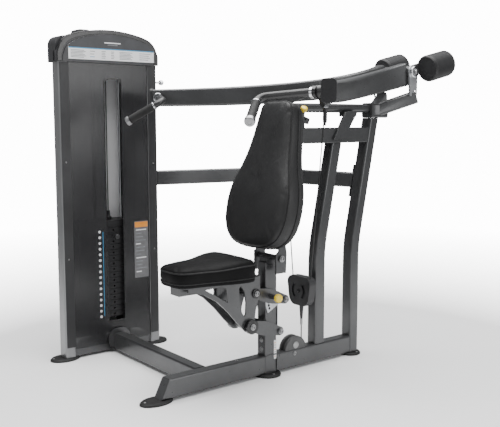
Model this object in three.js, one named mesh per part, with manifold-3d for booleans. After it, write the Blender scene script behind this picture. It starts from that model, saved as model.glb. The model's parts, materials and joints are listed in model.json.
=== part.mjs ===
// Shoulder press machine with a side weight tower. Millimetres, +Z up, floor at z = 0.
// +X is the user's left, +Y the rear. The origin is on the floor under the seat post.
import * as THREE from 'three';
import { mergeVertices } from 'three/addons/utils/BufferGeometryUtils.js';
import Module from 'manifold-3d';

const wasm = await Module();
wasm.setup();

// ---------------------------------------------------------------- driving dimensions
const GAP = 0.3;                    // welded and bolted faces stand this far apart
const FIT = 0.05;                   // radial running clearance

const BEAM_W = 60, BEAM_Z0 = 13, BEAM_Z1 = 100;          // floor beams
const BEAM_FRONT = -604, BEAM_SLANT = 44;
const CROSS_Y0 = -395, CROSS_Y1 = -334;
const POST_D = 70, POST_TOP_F = 545, POST_TOP_R = 522;

const FRONT_UP_Y = 316, FRONT_UP_D = 66;                 // front upright
const REAR_UP_Y = 554, REAR_UP_D = 58, REAR_UP_W = 66;   // rear upright
const LEAN_Z = 570, LEAN = 0.198;                        // where and how far they lean back
const UPPER_Z0 = 1087, UPPER_Z1 = 1162, UPPER_FRONT = 130;
const TUBE_Z = 1256, TUBE_R = 22, TUBE_FRONT = 160;
const COLLAR = { y0: 655, y1: 775, z0: 1209, z1: 1285, w: 70 };

const PIVOT = { y: 862, z: 1442, r: 14 };                // press arm axle
const YOKE_X = 115;                                      // plates that carry the axle
const BRANCH_END = { x: 112, y: 892, z: 1316 };

const ARM_HUB_X = 77, ARM_W = 58, ARM_H0 = 116, ARM_H1 = 84;
const ARM_BOW = new THREE.Vector3(-25, 408, 1313);         // control point of the arm's curve
const ARM_END = new THREE.Vector3(626, -220, 1308);
const LEVER_X = 150, LEVER_END = { y: 196, z: 1283 };
const HANDLE_R = 18, BEND = new THREE.Vector3(350, -339, 1288);
const GRIP_END = new THREE.Vector3(459, -467, 1192);
const CW = { x: 150, r: 68, y0: 932, len: 158, rise: 0.234 };

const PULLEY = { y: 218, z: 376, r: 56 };                // floating pulley, axis along Y
const LOW = { y: 161, z: 95, r: 67, groove: 53.5 };      // low pulley, axis along X
const CABLE_R = 3;

const TOWER = { x0: -844, x1: -772, y0: -662, y1: -115, colD: 55, top: 1478 };
const TOWER_MID = (TOWER.y0 + TOWER.y1) / 2 + 19;        // the stack and its slot sit a little rearward
const BACK_X = -912;
const STACK = { x0: -902, x1: -800, half: 194, z0: 180, pitch: 29.3, plates: 16, lifted: 2 };
const ROD = { x: -851, off: 75, r: 10 };

const LINK_A = { y: 75, z: 360 }, LINK_B = { y: 43, z: 212 };   // seat links on the post
const LINK = { y: -188, z: 56 };                                // from rear to front pivot
const LINK_BOLT = 8;
const SEAT_Z = 496, SEAT_T = 80, SEAT_CROWN = 12;
const SEAT_PIN_R = 96;                                   // pop-pin's distance from the rear pivot

const HINGE = { y: 15, z: 565 };                         // back pad hinge
const PAD_LEAN = 12.34 * Math.PI / 180, PAD_LEN = 704, PAD_T = 78, PAD_CROWN = 14;
const PAD_FOOT = { y: -27, z: 583 };
const STRUT_R = 669, STRUT_W = 22, STRUT_H = 28;
const BACK_PIN = { y: 186, z: 1212 };

// ---------------------------------------------------------------- materials
const mat = (hex, metalness, roughness, extra = {}) =>
  new THREE.MeshStandardMaterial({ color: hex, metalness, roughness, ...extra });
const M = {
  frame: mat(0x3c3e42, 0.6, 0.42),
  silver: mat(0xb9bcc0, 0.8, 0.35),
  chrome: mat(0xd8dadd, 1.0, 0.15),
  black: mat(0x17181a, 0.1, 0.5),
  rubber: mat(0x141415, 0.0, 0.8),
  vinyl: mat(0x1c1d20, 0.0, 0.55),
  shell: mat(0x101113, 0.1, 0.6),
  smoke: mat(0x3a3d42, 0.0, 0.25, { transparent: true, opacity: 0.55 }),
  placard: mat(0xe6e9ea, 0.0, 0.5),
  plate: mat(0x242629, 0.5, 0.5),
  yellow: mat(0xe8c21c, 0.0, 0.45),
};

const root = new THREE.Group();
root.name = 'shoulder_press_machine';
const add = (name, geometry, material) => {
  const g = tidy(geometry);
  const mesh = new THREE.Mesh(g, material);
  mesh.name = name;
  root.add(mesh);
};

// ---------------------------------------------------------------- geometry helpers
const V = (x, y, z) => new THREE.Vector3(x, y, z);
const X = V(1, 0, 0), Y = V(0, 1, 0), Z = V(0, 0, 1);

function signedVolume(g) {
  const p = g.attributes.position, ix = g.index;
  const a = V(), b = V(), c = V();
  let sum = 0;
  for (let i = 0; i < ix.count; i += 3) {
    a.fromBufferAttribute(p, ix.getX(i));
    b.fromBufferAttribute(p, ix.getX(i + 1));
    c.fromBufferAttribute(p, ix.getX(i + 2));
    sum += a.dot(b.cross(c));
  }
  return sum / 6;
}

// One closed mesh with shared corners and faces turned outwards.
function welded(g) {
  const src = g.clone();
  src.deleteAttribute('normal');
  src.deleteAttribute('uv');
  const m = mergeVertices(src, 1e-3);
  if (signedVolume(m) < 0) {
    const ix = m.index;
    for (let i = 0; i < ix.count; i += 3) {
      const t = ix.getX(i + 1);
      ix.setX(i + 1, ix.getX(i + 2));
      ix.setX(i + 2, t);
    }
  }
  return m;
}

function tidy(g) {
  const m = welded(g);
  m.computeVertexNormals();
  return m;
}

function solid(g) {
  const m = welded(g);
  return new wasm.Manifold(new wasm.Mesh({
    numProp: 3,
    vertProperties: new Float32Array(m.attributes.position.array),
    triVerts: new Uint32Array(m.index.array),
  }));
}

function fromSolid(s) {
  const m = s.getMesh();
  const g = new THREE.BufferGeometry();
  g.setAttribute('position', new THREE.BufferAttribute(new Float32Array(m.vertProperties), 3));
  g.setIndex(new THREE.BufferAttribute(new Uint32Array(m.triVerts), 1));
  return g;
}

const union = (...gs) => fromSolid(gs.map(solid).reduce((a, b) => a.add(b)));
const cut = (g, ...tools) => fromSolid(tools.map(solid).reduce((a, b) => a.subtract(b), solid(g)));

const circle = (r, n = 20) => Array.from({ length: n }, (_, i) => {
  const a = (2 * Math.PI * i) / n;
  return [r * Math.cos(a), r * Math.sin(a)];
});

function roundRect(w, h, r, n = 3) {
  const pts = [];
  [[1, 1], [-1, 1], [-1, -1], [1, -1]].forEach(([sx, sy], q) => {
    for (let i = 0; i <= n; i++) {
      const a = (Math.PI / 2) * (q + i / n);
      pts.push([sx * (w / 2 - r) + r * Math.cos(a), sy * (h / 2 - r) + r * Math.sin(a)]);
    }
  });
  return pts;
}

// Sweeps a profile along a path. lateral is the normal of the path's plane: the profile's
// first number runs along it, the second across it. size(t) scales both along the path.
function sweep(path, profile, lateral, size = () => [1, 1]) {
  const n = profile.length, pos = [], idx = [], last = path.length - 1;
  path.forEach((p, i) => {
    const t1 = i > 0 ? p.clone().sub(path[i - 1]).normalize() : null;
    const t2 = i < last ? path[i + 1].clone().sub(p).normalize() : null;
    const t = V(0, 0, 0);
    if (t1) t.add(t1);
    if (t2) t.add(t2);
    t.normalize();
    const stretch = t1 && t2 ? 1 / Math.max(0.5, t.dot(t1)) : 1;
    const up = lateral.clone().cross(t).normalize();
    const side = t.clone().cross(up);
    const [s1, s2] = size(i / last);
    profile.forEach(([a, b]) => {
      const q = p.clone().addScaledVector(side, a * s1).addScaledVector(up, b * s2 * stretch);
      pos.push(q.x, q.y, q.z);
    });
  });
  for (let i = 0; i < last; i++) {
    for (let j = 0; j < n; j++) {
      const a = i * n + j, b = i * n + ((j + 1) % n);
      idx.push(a, b, a + n, b, b + n, a + n);
    }
  }
  const cap = THREE.ShapeUtils.triangulateShape(profile.map(([a, b]) => new THREE.Vector2(a, b)), []);
  cap.forEach(([a, b, c]) => {
    idx.push(a, c, b);
    idx.push(last * n + a, last * n + b, last * n + c);
  });
  const g = new THREE.BufferGeometry();
  g.setAttribute('position', new THREE.BufferAttribute(new Float32Array(pos), 3));
  g.setIndex(idx);
  return g;
}

const tube = (path, r, lateral, n = 18) => sweep(path, circle(r, n), lateral);

function rod(a, b, r, n = 20) {
  const d = b.clone().sub(a).normalize();
  const lateral = Math.abs(d.z) < 0.9 ? Z.clone() : X.clone();
  return sweep([a, b], circle(r, n), lateral.addScaledVector(d, -lateral.dot(d)).normalize());
}

// Rounds the inner corners of a polyline.
function fillet(pts, radius, steps = 6) {
  const out = [pts[0].clone()];
  for (let i = 1; i < pts.length - 1; i++) {
    const a = pts[i - 1].clone().sub(pts[i]).normalize();
    const b = pts[i + 1].clone().sub(pts[i]).normalize();
    const half = Math.acos(THREE.MathUtils.clamp(a.dot(b), -1, 1)) / 2;
    const trim = radius / Math.tan(half);
    const p0 = pts[i].clone().addScaledVector(a, trim);
    const p1 = pts[i].clone().addScaledVector(b, trim);
    const c = pts[i].clone().addScaledVector(a.clone().add(b).normalize(), radius / Math.sin(half));
    const u = p0.clone().sub(c), v = p1.clone().sub(c);
    const ang = u.angleTo(v);
    for (let k = 0; k <= steps; k++) {
      const t = k / steps;
      const w0 = Math.sin((1 - t) * ang) / Math.sin(ang), w1 = Math.sin(t * ang) / Math.sin(ang);
      out.push(c.clone().addScaledVector(u, w0).addScaledVector(v, w1));
    }
  }
  out.push(pts[pts.length - 1].clone());
  return out;
}

function box(x0, x1, y0, y1, z0, z1) {
  const g = new THREE.BoxGeometry(x1 - x0, y1 - y0, z1 - z0);
  g.translate((x0 + x1) / 2, (y0 + y1) / 2, (z0 + z1) / 2);
  return g;
}

// Square tube along a path that lies in the plane whose normal is lateral.
const beam = (path, across, along, lateral, r = 9) => sweep(path, roundRect(across, along, r), lateral);

function shapeOf(outline, holes = []) {
  const s = new THREE.Shape(outline.map(([a, b]) => new THREE.Vector2(a, b)));
  holes.forEach((h) => s.holes.push(new THREE.Path(h.map(([a, b]) => new THREE.Vector2(a, b)))));
  return s;
}

// Flat plates: the outline is in (y, z), (x, y) or (x, z), the thickness along the third axis.
function plateYZ(outline, x0, x1, holes) {
  const g = new THREE.ExtrudeGeometry(shapeOf(outline, holes), { depth: x1 - x0, bevelEnabled: false });
  g.applyMatrix4(new THREE.Matrix4().makeBasis(Y, Z, X));
  return g.translate(x0, 0, 0);
}
function plateXY(outline, z0, z1, holes) {
  const g = new THREE.ExtrudeGeometry(shapeOf(outline, holes), { depth: z1 - z0, bevelEnabled: false });
  return g.translate(0, 0, z0);
}
function plateXZ(outline, y0, y1, holes) {
  const g = new THREE.ExtrudeGeometry(shapeOf(outline, holes), { depth: y1 - y0, bevelEnabled: false });
  g.applyMatrix4(new THREE.Matrix4().makeBasis(X, Z, Y.clone().negate()));
  return g.translate(0, y1, 0);
}

const ring = (cy, cz, r, n = 20) => circle(r, n).map(([a, b]) => [cy + a, cz + b]);
const arc = (cy, cz, r, from, to, n) => Array.from({ length: n + 1 }, (_, i) => {
  const a = ((from + ((to - from) * i) / n) * Math.PI) / 180;
  return [cy + r * Math.cos(a), cz + r * Math.sin(a)];
});

// Outline of two discs joined by their tangents.
function capsule(a, b, r, n = 12) {
  const d = Math.atan2(b.z - a.z, b.y - a.y), pts = [];
  for (let i = 0; i <= n; i++) {
    const t = d + Math.PI / 2 + (Math.PI * i) / n;
    pts.push([a.y + r * Math.cos(t), a.z + r * Math.sin(t)]);
  }
  for (let i = 0; i <= n; i++) {
    const t = d - Math.PI / 2 + (Math.PI * i) / n;
    pts.push([b.y + r * Math.cos(t), b.z + r * Math.sin(t)]);
  }
  return pts;
}

// Turned piece: profile of [radius, distance] from axis to axis, laid from a along dir.
function turned(profile, a, dir, n = 24) {
  const g = new THREE.LatheGeometry(profile.map(([r, d]) => new THREE.Vector2(r, d)), n);
  g.applyQuaternion(new THREE.Quaternion().setFromUnitVectors(Y, dir.clone().normalize()));
  return g.translate(a.x, a.y, a.z);
}

// Upholstered pad: a closed outline, softly rounded edges and a crowned face. swell scales
// the thickness along the second number of the outline.
function cushion(outline, thick, edge, crown, place, swell = () => 1) {
  const n = outline.length;
  const c = outline.reduce((s, p) => [s[0] + p[0] / n, s[1] + p[1] / n], [0, 0]);
  const nor = outline.map((_, i) => {
    const a = outline[(i + n - 1) % n], b = outline[(i + 1) % n];
    const l = Math.hypot(b[0] - a[0], b[1] - a[1]);
    return [(b[1] - a[1]) / l, -(b[0] - a[0]) / l];
  });
  const rings = [[8, 0], [2, 2], [0, 8]];
  for (let k = 0; k <= 4; k++) {
    const a = (Math.PI / 2) * (k / 4);
    rings.push([edge * (1 - Math.cos(a)), thick - edge * (1 - Math.sin(a))]);
  }
  const pos = [], idx = [];
  rings.forEach(([inset, h]) => outline.forEach(([x, y], i) => {
    pos.push(x - nor[i][0] * inset, y - nor[i][1] * inset, h);
  }));
  const top = (rings.length - 1) * n * 3;
  [0.8, 0.55, 0.3].forEach((s) => {
    for (let i = 0; i < n; i++) {
      const x = pos[top + 3 * i], y = pos[top + 3 * i + 1];
      pos.push(c[0] + (x - c[0]) * s, c[1] + (y - c[1]) * s, thick + crown * (1 - s * s));
    }
  });
  const rows = rings.length + 3;
  pos.push(c[0], c[1], thick + crown, c[0], c[1], 0);
  const peak = rows * n, foot = rows * n + 1;
  for (let k = 0; k < rows - 1; k++) {
    for (let i = 0; i < n; i++) {
      const a = k * n + i, b = k * n + ((i + 1) % n);
      idx.push(a, b, a + n, b, b + n, a + n);
    }
  }
  for (let i = 0; i < n; i++) {
    const j = (i + 1) % n;
    idx.push((rows - 1) * n + i, (rows - 1) * n + j, peak);
    idx.push(j, i, foot);
  }
  for (let i = 0; i < pos.length; i += 3) pos[i + 2] *= swell(pos[i + 1]);
  const g = new THREE.BufferGeometry();
  g.setAttribute('position', new THREE.BufferAttribute(new Float32Array(pos), 3));
  g.setIndex(idx);
  return g.applyMatrix4(place);
}

// Smooth closed outline through the points of one half, mirrored about the first number = 0.
function mirroredOutline(half, count) {
  const other = half.slice(1, -1).reverse().map(([x, y]) => [-x, y]);
  const pts = [...half, ...other].map(([x, y]) => V(x, y, 0));
  const curve = new THREE.CatmullRomCurve3(pts, true, 'centripetal');
  return curve.getSpacedPoints(count).slice(0, count).map((p) => [p.x, p.y]);
}

// ---------------------------------------------------------------- floor frame
const beamMid = (BEAM_Z0 + BEAM_Z1) / 2, beamH = BEAM_Z1 - BEAM_Z0;
const post0 = -POST_D / 2, post1 = POST_D / 2;

const frontBeam = beam([V(0, BEAM_FRONT, beamMid), V(0, post0 - GAP, beamMid)], BEAM_W, beamH, X);
const nose = plateYZ([
  [BEAM_FRONT - 20, BEAM_Z0 - 20], [BEAM_FRONT - 10, BEAM_Z0 - 20],
  [BEAM_FRONT + BEAM_SLANT + 10, BEAM_Z1 + 20], [BEAM_FRONT - 20, BEAM_Z1 + 20]], -50, 50);
add('base_beam_front', cut(frontBeam, nose), M.frame);

const rearEnd = REAR_UP_Y - REAR_UP_D / 2 - GAP;
const rearBeam = beam([V(0, post1 + GAP, beamMid), V(0, rearEnd, beamMid)], BEAM_W, beamH, X);
const well = box(-26, 26, LOW.y - LOW.r - 2, LOW.y + LOW.r + 2, LOW.z - LOW.r - 2, 140);
add('base_beam_rear', cut(rearBeam, well), M.frame);

// Cross beam to the tower, with the oval flange that meets the tower.
const crossY = (CROSS_Y0 + CROSS_Y1) / 2;
const crossArm = beam([V(TOWER.x1 + GAP, crossY, beamMid), V(-BEAM_W / 2 - GAP, crossY, beamMid)],
  CROSS_Y1 - CROSS_Y0, beamH, Z.clone().cross(X), 9);
const flange = plateYZ(roundRect(124, 112, 50, 5).map(([a, b]) => [crossY + a, 69 + b]),
  TOWER.x1 + GAP, TOWER.x1 + 8);
add('cross_beam', union(crossArm, flange), M.frame);

const postTube = beam([V(0, 0, BEAM_Z0), V(0, 0, 600)], BEAM_W, POST_D, X, 7);
const postTop = plateYZ([[-60, POST_TOP_F + 25 * 0.33], [60, POST_TOP_R - 25 * 0.33], [60, 640], [-60, 640]],
  -50, 50);
add('seat_post', cut(postTube, postTop), M.frame);

// ---------------------------------------------------------------- uprights and upper frame
const leanPath = (y, z0, z1) => fillet(
  [V(0, y, z0), V(0, y, LEAN_Z), V(0, y + LEAN * (z1 - LEAN_Z), z1)], 700, 5);

const frontUp = beam(leanPath(FRONT_UP_Y, BEAM_Z1 + GAP, UPPER_Z0 + 60), BEAM_W, FRONT_UP_D, X, 10);
add('front_upright', cut(frontUp, box(-60, 60, 200, 700, UPPER_Z0 - GAP, 1300)), M.frame);

const rearUp = beam(leanPath(REAR_UP_Y, BEAM_Z0, COLLAR.z0 + 60), REAR_UP_W, REAR_UP_D, X, 10);
const rearUpFat = beam(leanPath(REAR_UP_Y, BEAM_Z0 - 20, COLLAR.z0 + 80), REAR_UP_W + 2 * GAP,
  REAR_UP_D + 2 * GAP, X, 2);
add('rear_upright', cut(rearUp, box(-80, 80, 400, 900, COLLAR.z0 - GAP, 1400)), M.frame);

const upperMid = (UPPER_Z0 + UPPER_Z1) / 2;
const upperBeam = beam([V(0, UPPER_FRONT, upperMid), V(0, 670, upperMid)], BEAM_W,
  UPPER_Z1 - UPPER_Z0, X, 6);
add('upper_beam', largestPart(cut(upperBeam, rearUpFat)), M.frame);
add('upper_tube', rod(V(0, TUBE_FRONT, TUBE_Z), V(0, COLLAR.y0 - GAP, TUBE_Z), TUBE_R, 24), M.frame);

// A cut can leave a sliver behind the cutting piece: keep the large part only.
function largestPart(g) {
  const parts = solid(g).decompose();
  return fromSolid(parts.reduce((a, b) => (a.volume() > b.volume() ? a : b)));
}

// Oblique brace: a bar on the upper beam's side with a foot under the tube.
const brace = cut(union(
  plateYZ([[384, 1104], [452, 1104], [545, 1238], [462, 1238]], 30 + GAP, 43),
  box(-22, 43, 478, 536, 1216, 1242)),
rod(V(0, 300, TUBE_Z), V(0, 620, TUBE_Z), TUBE_R + GAP, 24));
add('rear_brace', brace, M.frame);

// Yoke: a collar on the rear upright and two branches that rise outwards to the axle plates.
const collarMid = (COLLAR.z0 + COLLAR.z1) / 2;
const collar = beam([V(0, COLLAR.y0, collarMid), V(0, COLLAR.y1, collarMid)],
  COLLAR.w, COLLAR.z1 - COLLAR.z0, X, 12);
const branch = (s) => sweep(
  [V(s * 6, 715, 1247), V(s * BRANCH_END.x, BRANCH_END.y, BRANCH_END.z)],
  roundRect(66, 54, 14), Z);
const yoke = union(collar, branch(1), branch(-1));
add('yoke', yoke, M.frame);

const branchFat = (s) => sweep(
  [V(s * 6, 715, 1247), V(s * (BRANCH_END.x + 4), BRANCH_END.y + 6, BRANCH_END.z + 2)],
  roundRect(67.4, 62, 14), Z);
for (const [name, s] of [['left', 1], ['right', -1]]) {
  const side = [[838, 1320], [892, 1320], ...arc(PIVOT.y, PIVOT.z, 34, -20, 200, 16)];
  const x0 = Math.min(s * YOKE_X, s * (YOKE_X + 9)), x1 = x0 + 9;
  const blank = plateYZ(side, x0, x1, [ring(PIVOT.y, PIVOT.z, PIVOT.r + FIT, 32)]);
  add(`yoke_plate_${name}`, largestPart(cut(blank, branchFat(s))), M.silver);
}
add('arm_axle', turned([[0, 0], [26, 0], [29, 3], [29, 13], [PIVOT.r, 13], [PIVOT.r, 262],
  [29, 262], [29, 272], [26, 275], [0, 275]], V(-137.5, PIVOT.y, PIVOT.z), X, 32), M.chrome);

// Middle beam: leaves the tower rearwards and turns to the rear upright.
const midZ = 893;
const midEnd = V(-REAR_UP_W / 2 - GAP, REAR_UP_Y + LEAN * (midZ - LEAN_Z), midZ);
const midPath = fillet([V(-800, TOWER.y1 + GAP, midZ), V(-676, 493, midZ), midEnd], 190, 8);
const midFlange = plateYZ([[-46, -82], [20, -82], [52, 78], [-14, 78]].map(([a, b]) =>
  [midEnd.y + a, midZ + b]), midEnd.x - 7, midEnd.x);
const midReach = [midPath[0].clone().add(V(-2, -12, 0)), ...midPath.slice(1, -1),
  midEnd.clone().add(V(12, 2, 0))];
add('mid_beam', largestPart(cut(union(beam(midReach, 76, 50, Z, 8), midFlange), rearUpFat,
  box(-900, -700, -300, TOWER.y1 + GAP, 800, 1000))), M.frame);

// ---------------------------------------------------------------- weight tower
for (const [name, y0] of [['front', TOWER.y0], ['rear', TOWER.y1 - TOWER.colD]]) {
  const y = y0 + TOWER.colD / 2, x = (TOWER.x0 + TOWER.x1) / 2;
  add(`tower_column_${name}`, beam([V(x, y, BEAM_Z0), V(x, y, TOWER.top - GAP)],
    TOWER.x1 - TOWER.x0, TOWER.colD, X, 9), M.frame);
}
const in0 = TOWER.y0 + TOWER.colD + GAP, in1 = TOWER.y1 - TOWER.colD - GAP;
const sill = box(TOWER.x0 + 6, TOWER.x1 - 12, in0, in1, BEAM_Z0, 62);
const stepMid = (s) => TOWER_MID + s * ROD.off;
const step = (s) => box(-884, -806, stepMid(s) - 22, stepMid(s) + 22, 40, STACK.z0 - GAP);
const sillBack = box(BACK_X + 5, TOWER.x1 - 16, TOWER_MID - 160, TOWER_MID + 160, 30, 58);
add('tower_base', union(sill, sillBack, step(1), step(-1)), M.frame);

const capMid = (TOWER.y0 + TOWER.y1) / 2, capHalf = (TOWER.y1 - TOWER.y0) / 2 + 6;
const archTop = [], hoodHalf = capHalf - 3, hoodR = 46;
for (let i = 0; i <= 16; i++) {
  const t = -1 + i / 8;
  archTop.push([capMid - (capHalf - 0.5) * t, 1640 - 54 * t ** 2 - 62 * Math.abs(t) ** 14]);
}
const hood = [[capMid - hoodHalf, TOWER.top], [capMid + hoodHalf, TOWER.top],
  ...arc(capMid + hoodHalf - hoodR, 1558, hoodR, 0, 80, 6), [capMid + 150, 1612],
  [capMid + 75, 1618], [capMid, 1620],
  [capMid - 75, 1618], [capMid - 150, 1612], ...arc(capMid - hoodHalf + hoodR, 1558, hoodR, 100, 180, 6)];
const ridge = [[-548, 1600], [-478, 1600], [-478, 1628], [-482, 1635], [-490, 1639.5],
  [-534, 1639.5], [-543, 1635], [-548, 1626]];
add('tower_cap', union(
  plateYZ([[capMid - capHalf, TOWER.top], [capMid + capHalf, TOWER.top], ...archTop], -792, TOWER.x1 + 8),
  plateYZ(hood, -880, -791), plateYZ(ridge, -862, -791),
  box(BACK_X - 4, -860, in0 - 8, in1 + 8, TOWER.top, 1560)), M.black);
const strip = [], boardMid = capMid + 16;
for (let i = 0; i <= 12; i++) {
  const t = -1 + i / 6;
  strip.push([boardMid - 238 * t, 1618 - 50 * t ** 2 - 10 * Math.abs(t) ** 12]);
}
add('placard', plateYZ([[boardMid - 238, 1492], [boardMid + 238, 1492], ...strip],
  TOWER.x1 + 8 + GAP, TOWER.x1 + 10.5), M.placard);

// Panel on the user's side with the tall pin slot, and the folded shroud behind the stack.
const slot = [[-47, 166], [47, 166], [47, 1372], [40, 1392], [22, 1402],
  [-22, 1402], [-40, 1392], [-47, 1372]]
  .map(([y, z]) => [TOWER_MID + y, z]);
add('panel', plateYZ([[in0, 50], [in1, 50], [in1, TOWER.top - GAP], [in0, TOWER.top - GAP]],
  TOWER.x1 - 9, TOWER.x1 - 5, [slot]), M.smoke);
const fold = 4;
add('shroud', union(
  box(BACK_X, BACK_X + fold, in0, in1, 66, TOWER.top - GAP),
  box(BACK_X, TOWER.x0 + 30, in0, in0 + fold, 66, TOWER.top - GAP),
  box(BACK_X, TOWER.x0 + 30, in1 - fold, in1, 66, TOWER.top - GAP)), M.shell);

// ---------------------------------------------------------------- weight stack
const stackTop = STACK.z0 + STACK.plates * STACK.pitch;
const split = stackTop - STACK.lifted * STACK.pitch;
const headTop = stackTop + 38;

// Side profile of a pile of plates: a narrow groove marks each joint.
function pile(z0, z1, tops) {
  const right = [[STACK.x1, z0]], left = [[STACK.x0, z1]];
  tops.forEach((z) => right.push(
    [STACK.x1, z - 1], [STACK.x1 - 5, z - 0.6], [STACK.x1 - 5, z + 0.6], [STACK.x1, z + 1]));
  right.push([STACK.x1, z1]);
  [...tops].reverse().forEach((z) => left.push(
    [STACK.x0, z + 1], [STACK.x0 + 5, z + 0.6], [STACK.x0 + 5, z - 0.6], [STACK.x0, z - 1]));
  left.push([STACK.x0, z0]);
  return plateXZ([...right, ...left], TOWER_MID - STACK.half, TOWER_MID + STACK.half);
}
const joints = (from, to) => Array.from({ length: to - from }, (_, i) => STACK.z0 + (from + i) * STACK.pitch);
const pinBore = (z) => rod(V(STACK.x1 - 40, TOWER_MID, z), V(STACK.x1 + 10, TOWER_MID, z), 5.3, 8);
const holeZ = (k) => stackTop - (k + 0.5) * STACK.pitch;
const guideBores = [-1, 1].map((s) => rod(V(ROD.x, TOWER_MID + s * ROD.off, 60),
  V(ROD.x, TOWER_MID + s * ROD.off, 800), ROD.r + 0.5, 16));
const centreBore = rod(V(ROD.x, TOWER_MID, 60), V(ROD.x, TOWER_MID, split + 20), 14, 16);
const lower = Array.from({ length: STACK.plates - STACK.lifted }, (_, i) => pinBore(holeZ(i + STACK.lifted)));
add('stack_resting', cut(pile(STACK.z0, split - GAP, joints(1, STACK.plates - STACK.lifted)),
  ...guideBores, centreBore, ...lower), M.plate);
const lifting = cut(pile(split, headTop, joints(STACK.plates - STACK.lifted + 1, STACK.plates + 1)),
  ...guideBores, centreBore, ...Array.from({ length: STACK.lifted }, (_, i) => pinBore(holeZ(i))));
const cableLug = turned([[0, 0], [16, 0], [16, 14], [9, 20], [9, 46], [0, 46]],
  V(ROD.x, TOWER_MID, headTop - 1), Z, 16);
add('stack_lifted', union(lifting, cableLug), M.plate);
add('selector_rod', rod(V(ROD.x, TOWER_MID, STACK.z0 + 20), V(ROD.x, TOWER_MID, split + 19), 12, 16),
  M.chrome);

const pinZ = holeZ(STACK.lifted - 1);
add('selector_pin', turned([[0, 0], [4.8, 0], [4.8, 56], [12, 60], [12, 82], [9, 86], [0, 86]],
  V(STACK.x1 - 36, TOWER_MID, pinZ), X, 20), M.black);
for (const [name, s] of [['front', -1], ['rear', 1]]) {
  const y = TOWER_MID + s * ROD.off;
  add(`guide_rod_${name}`, rod(V(ROD.x, y, STACK.z0), V(ROD.x, y, TOWER.top - 1), ROD.r, 16), M.chrome);
}
add('stack_cable', rod(V(ROD.x, TOWER_MID, headTop + 46), V(ROD.x, TOWER_MID, TOWER.top - 1), CABLE_R, 10),
  M.black);
add('addon_knob', turned([[0, 0], [5, 0], [5, 22], [13, 26], [14, 40], [10, 45], [0, 45]],
  V(-783, TOWER.y1 + GAP, 1393), Y, 20), M.chrome);

// ---------------------------------------------------------------- press arms
const armDir = (s, v) => V(s * v.x, v.y, v.z);
function armPath(s) {
  const curve = new THREE.QuadraticBezierCurve3(V(ARM_HUB_X, PIVOT.y - 20, PIVOT.z - 13), ARM_BOW, ARM_END);
  return curve.getPoints(11).map((p) => armDir(s, p));
}
const pivotBore = rod(V(-200, PIVOT.y, PIVOT.z), V(200, PIVOT.y, PIVOT.z), PIVOT.r + 0.09, 32);
for (const [name, s] of [['left', 1], ['right', -1]]) {
  const path = armPath(s);
  const limb = sweep(path, roundRect(100, ARM_W, 13), Z, (t) => [(ARM_H0 + (ARM_H1 - ARM_H0) * t) / 100, 1]);
  const hub = rod(V(s * 42, PIVOT.y, PIVOT.z), V(s * 112, PIVOT.y, PIVOT.z), 33, 28);
  const lever = beam([V(s * LEVER_X, 400, 1342), V(s * LEVER_X, LEVER_END.y, LEVER_END.z)], 36, 46, X, 8);
  const cwY = CW.y0 + 60, cwZ = PIVOT.z + CW.rise * (cwY - PIVOT.y);
  const tail = beam([V(s * 61, PIVOT.y, PIVOT.z), V(s * 61, cwY + 26, cwZ + 6)], 28, 50, X, 8);
  const stub = rod(V(s * 61, cwY, cwZ), V(s * (CW.x - CW.r - GAP), cwY, cwZ), 22, 20);
  add(`press_arm_${name}`, cut(union(limb, hub, lever, tail, stub), pivotBore), M.frame);

  const end = path[path.length - 1], out = end.clone().sub(path[path.length - 2]).normalize();
  const capRun = [end.clone().addScaledVector(out, GAP), end.clone().addScaledVector(out, 16)];
  add(`arm_end_cap_${name}`, sweep(capRun,
    roundRect(94, 60, 18, 4), Z), M.black);

  // Handle: leaves the arm's inner side square to it, then bends forward, outward and down.
  const inner = V(-s * Math.abs(out.y), s > 0 ? -out.x : out.x, 0).normalize();
  const foot = end.clone().addScaledVector(out, -34).addScaledVector(inner, ARM_W / 2 - 8);
  const bend = armDir(s, BEND), tip = armDir(s, GRIP_END);
  const down = tip.clone().sub(bend).normalize();
  const bar = fillet([foot, bend, bend.clone().addScaledVector(down, 52)], 34, 6);
  const plane = foot.clone().sub(bend).cross(down).normalize();
  const sleeve = rod(foot.clone(), foot.clone().lerp(bend, 0.15), HANDLE_R + 5, 20);
  const fatLimb = sweep(path, roundRect(100, ARM_W + 2 * GAP, 13), Z,
    (t) => [(ARM_H0 + (ARM_H1 - ARM_H0) * t) / 99, 1]);
  const handle = union(tube(bar, HANDLE_R - 2, plane, 18), sleeve);
  add(`handle_${name}`, largestPart(cut(handle, fatLimb)), M.frame);
  add(`grip_${name}`, turned([[0, 0], [17, 0], [19, 3], [19, 128], [22, 130], [22, 144], [19, 147], [0, 147]],
    bend.clone().addScaledVector(down, 52 + GAP), down, 20), M.rubber);
  const axis = V(0, 1, CW.rise).normalize();
  add(`counterweight_${name}`, turned([[0, 0], [CW.r - 8, 0], [CW.r, 8], [CW.r, CW.len - 10],
    [CW.r - 10, CW.len], [0, CW.len]],
  V(s * CW.x, CW.y0, PIVOT.z + CW.rise * (CW.y0 - PIVOT.y)), axis, 32), M.black);
}

// ---------------------------------------------------------------- cables and pulleys
const strapTop = LEVER_END.z + 5 - 28;
const strapY = PULLEY.y;
function strapPath(r) {
  const reach = Math.atan2(LEVER_X - PULLEY.r, strapTop - PULLEY.z), pts = [];
  pts.push(V(-LEVER_X, strapY, strapTop - 1));
  for (let i = 0; i <= 14; i++) {
    const a = Math.PI + reach + ((Math.PI - 2 * reach) * i) / 14;
    pts.push(V(r * Math.cos(a), strapY, PULLEY.z + r * Math.sin(a)));
  }
  pts.push(V(LEVER_X, strapY, strapTop - 1));
  return pts;
}
add('strap_cable', tube(strapPath(PULLEY.r), CABLE_R, Y, 10), M.black);

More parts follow.
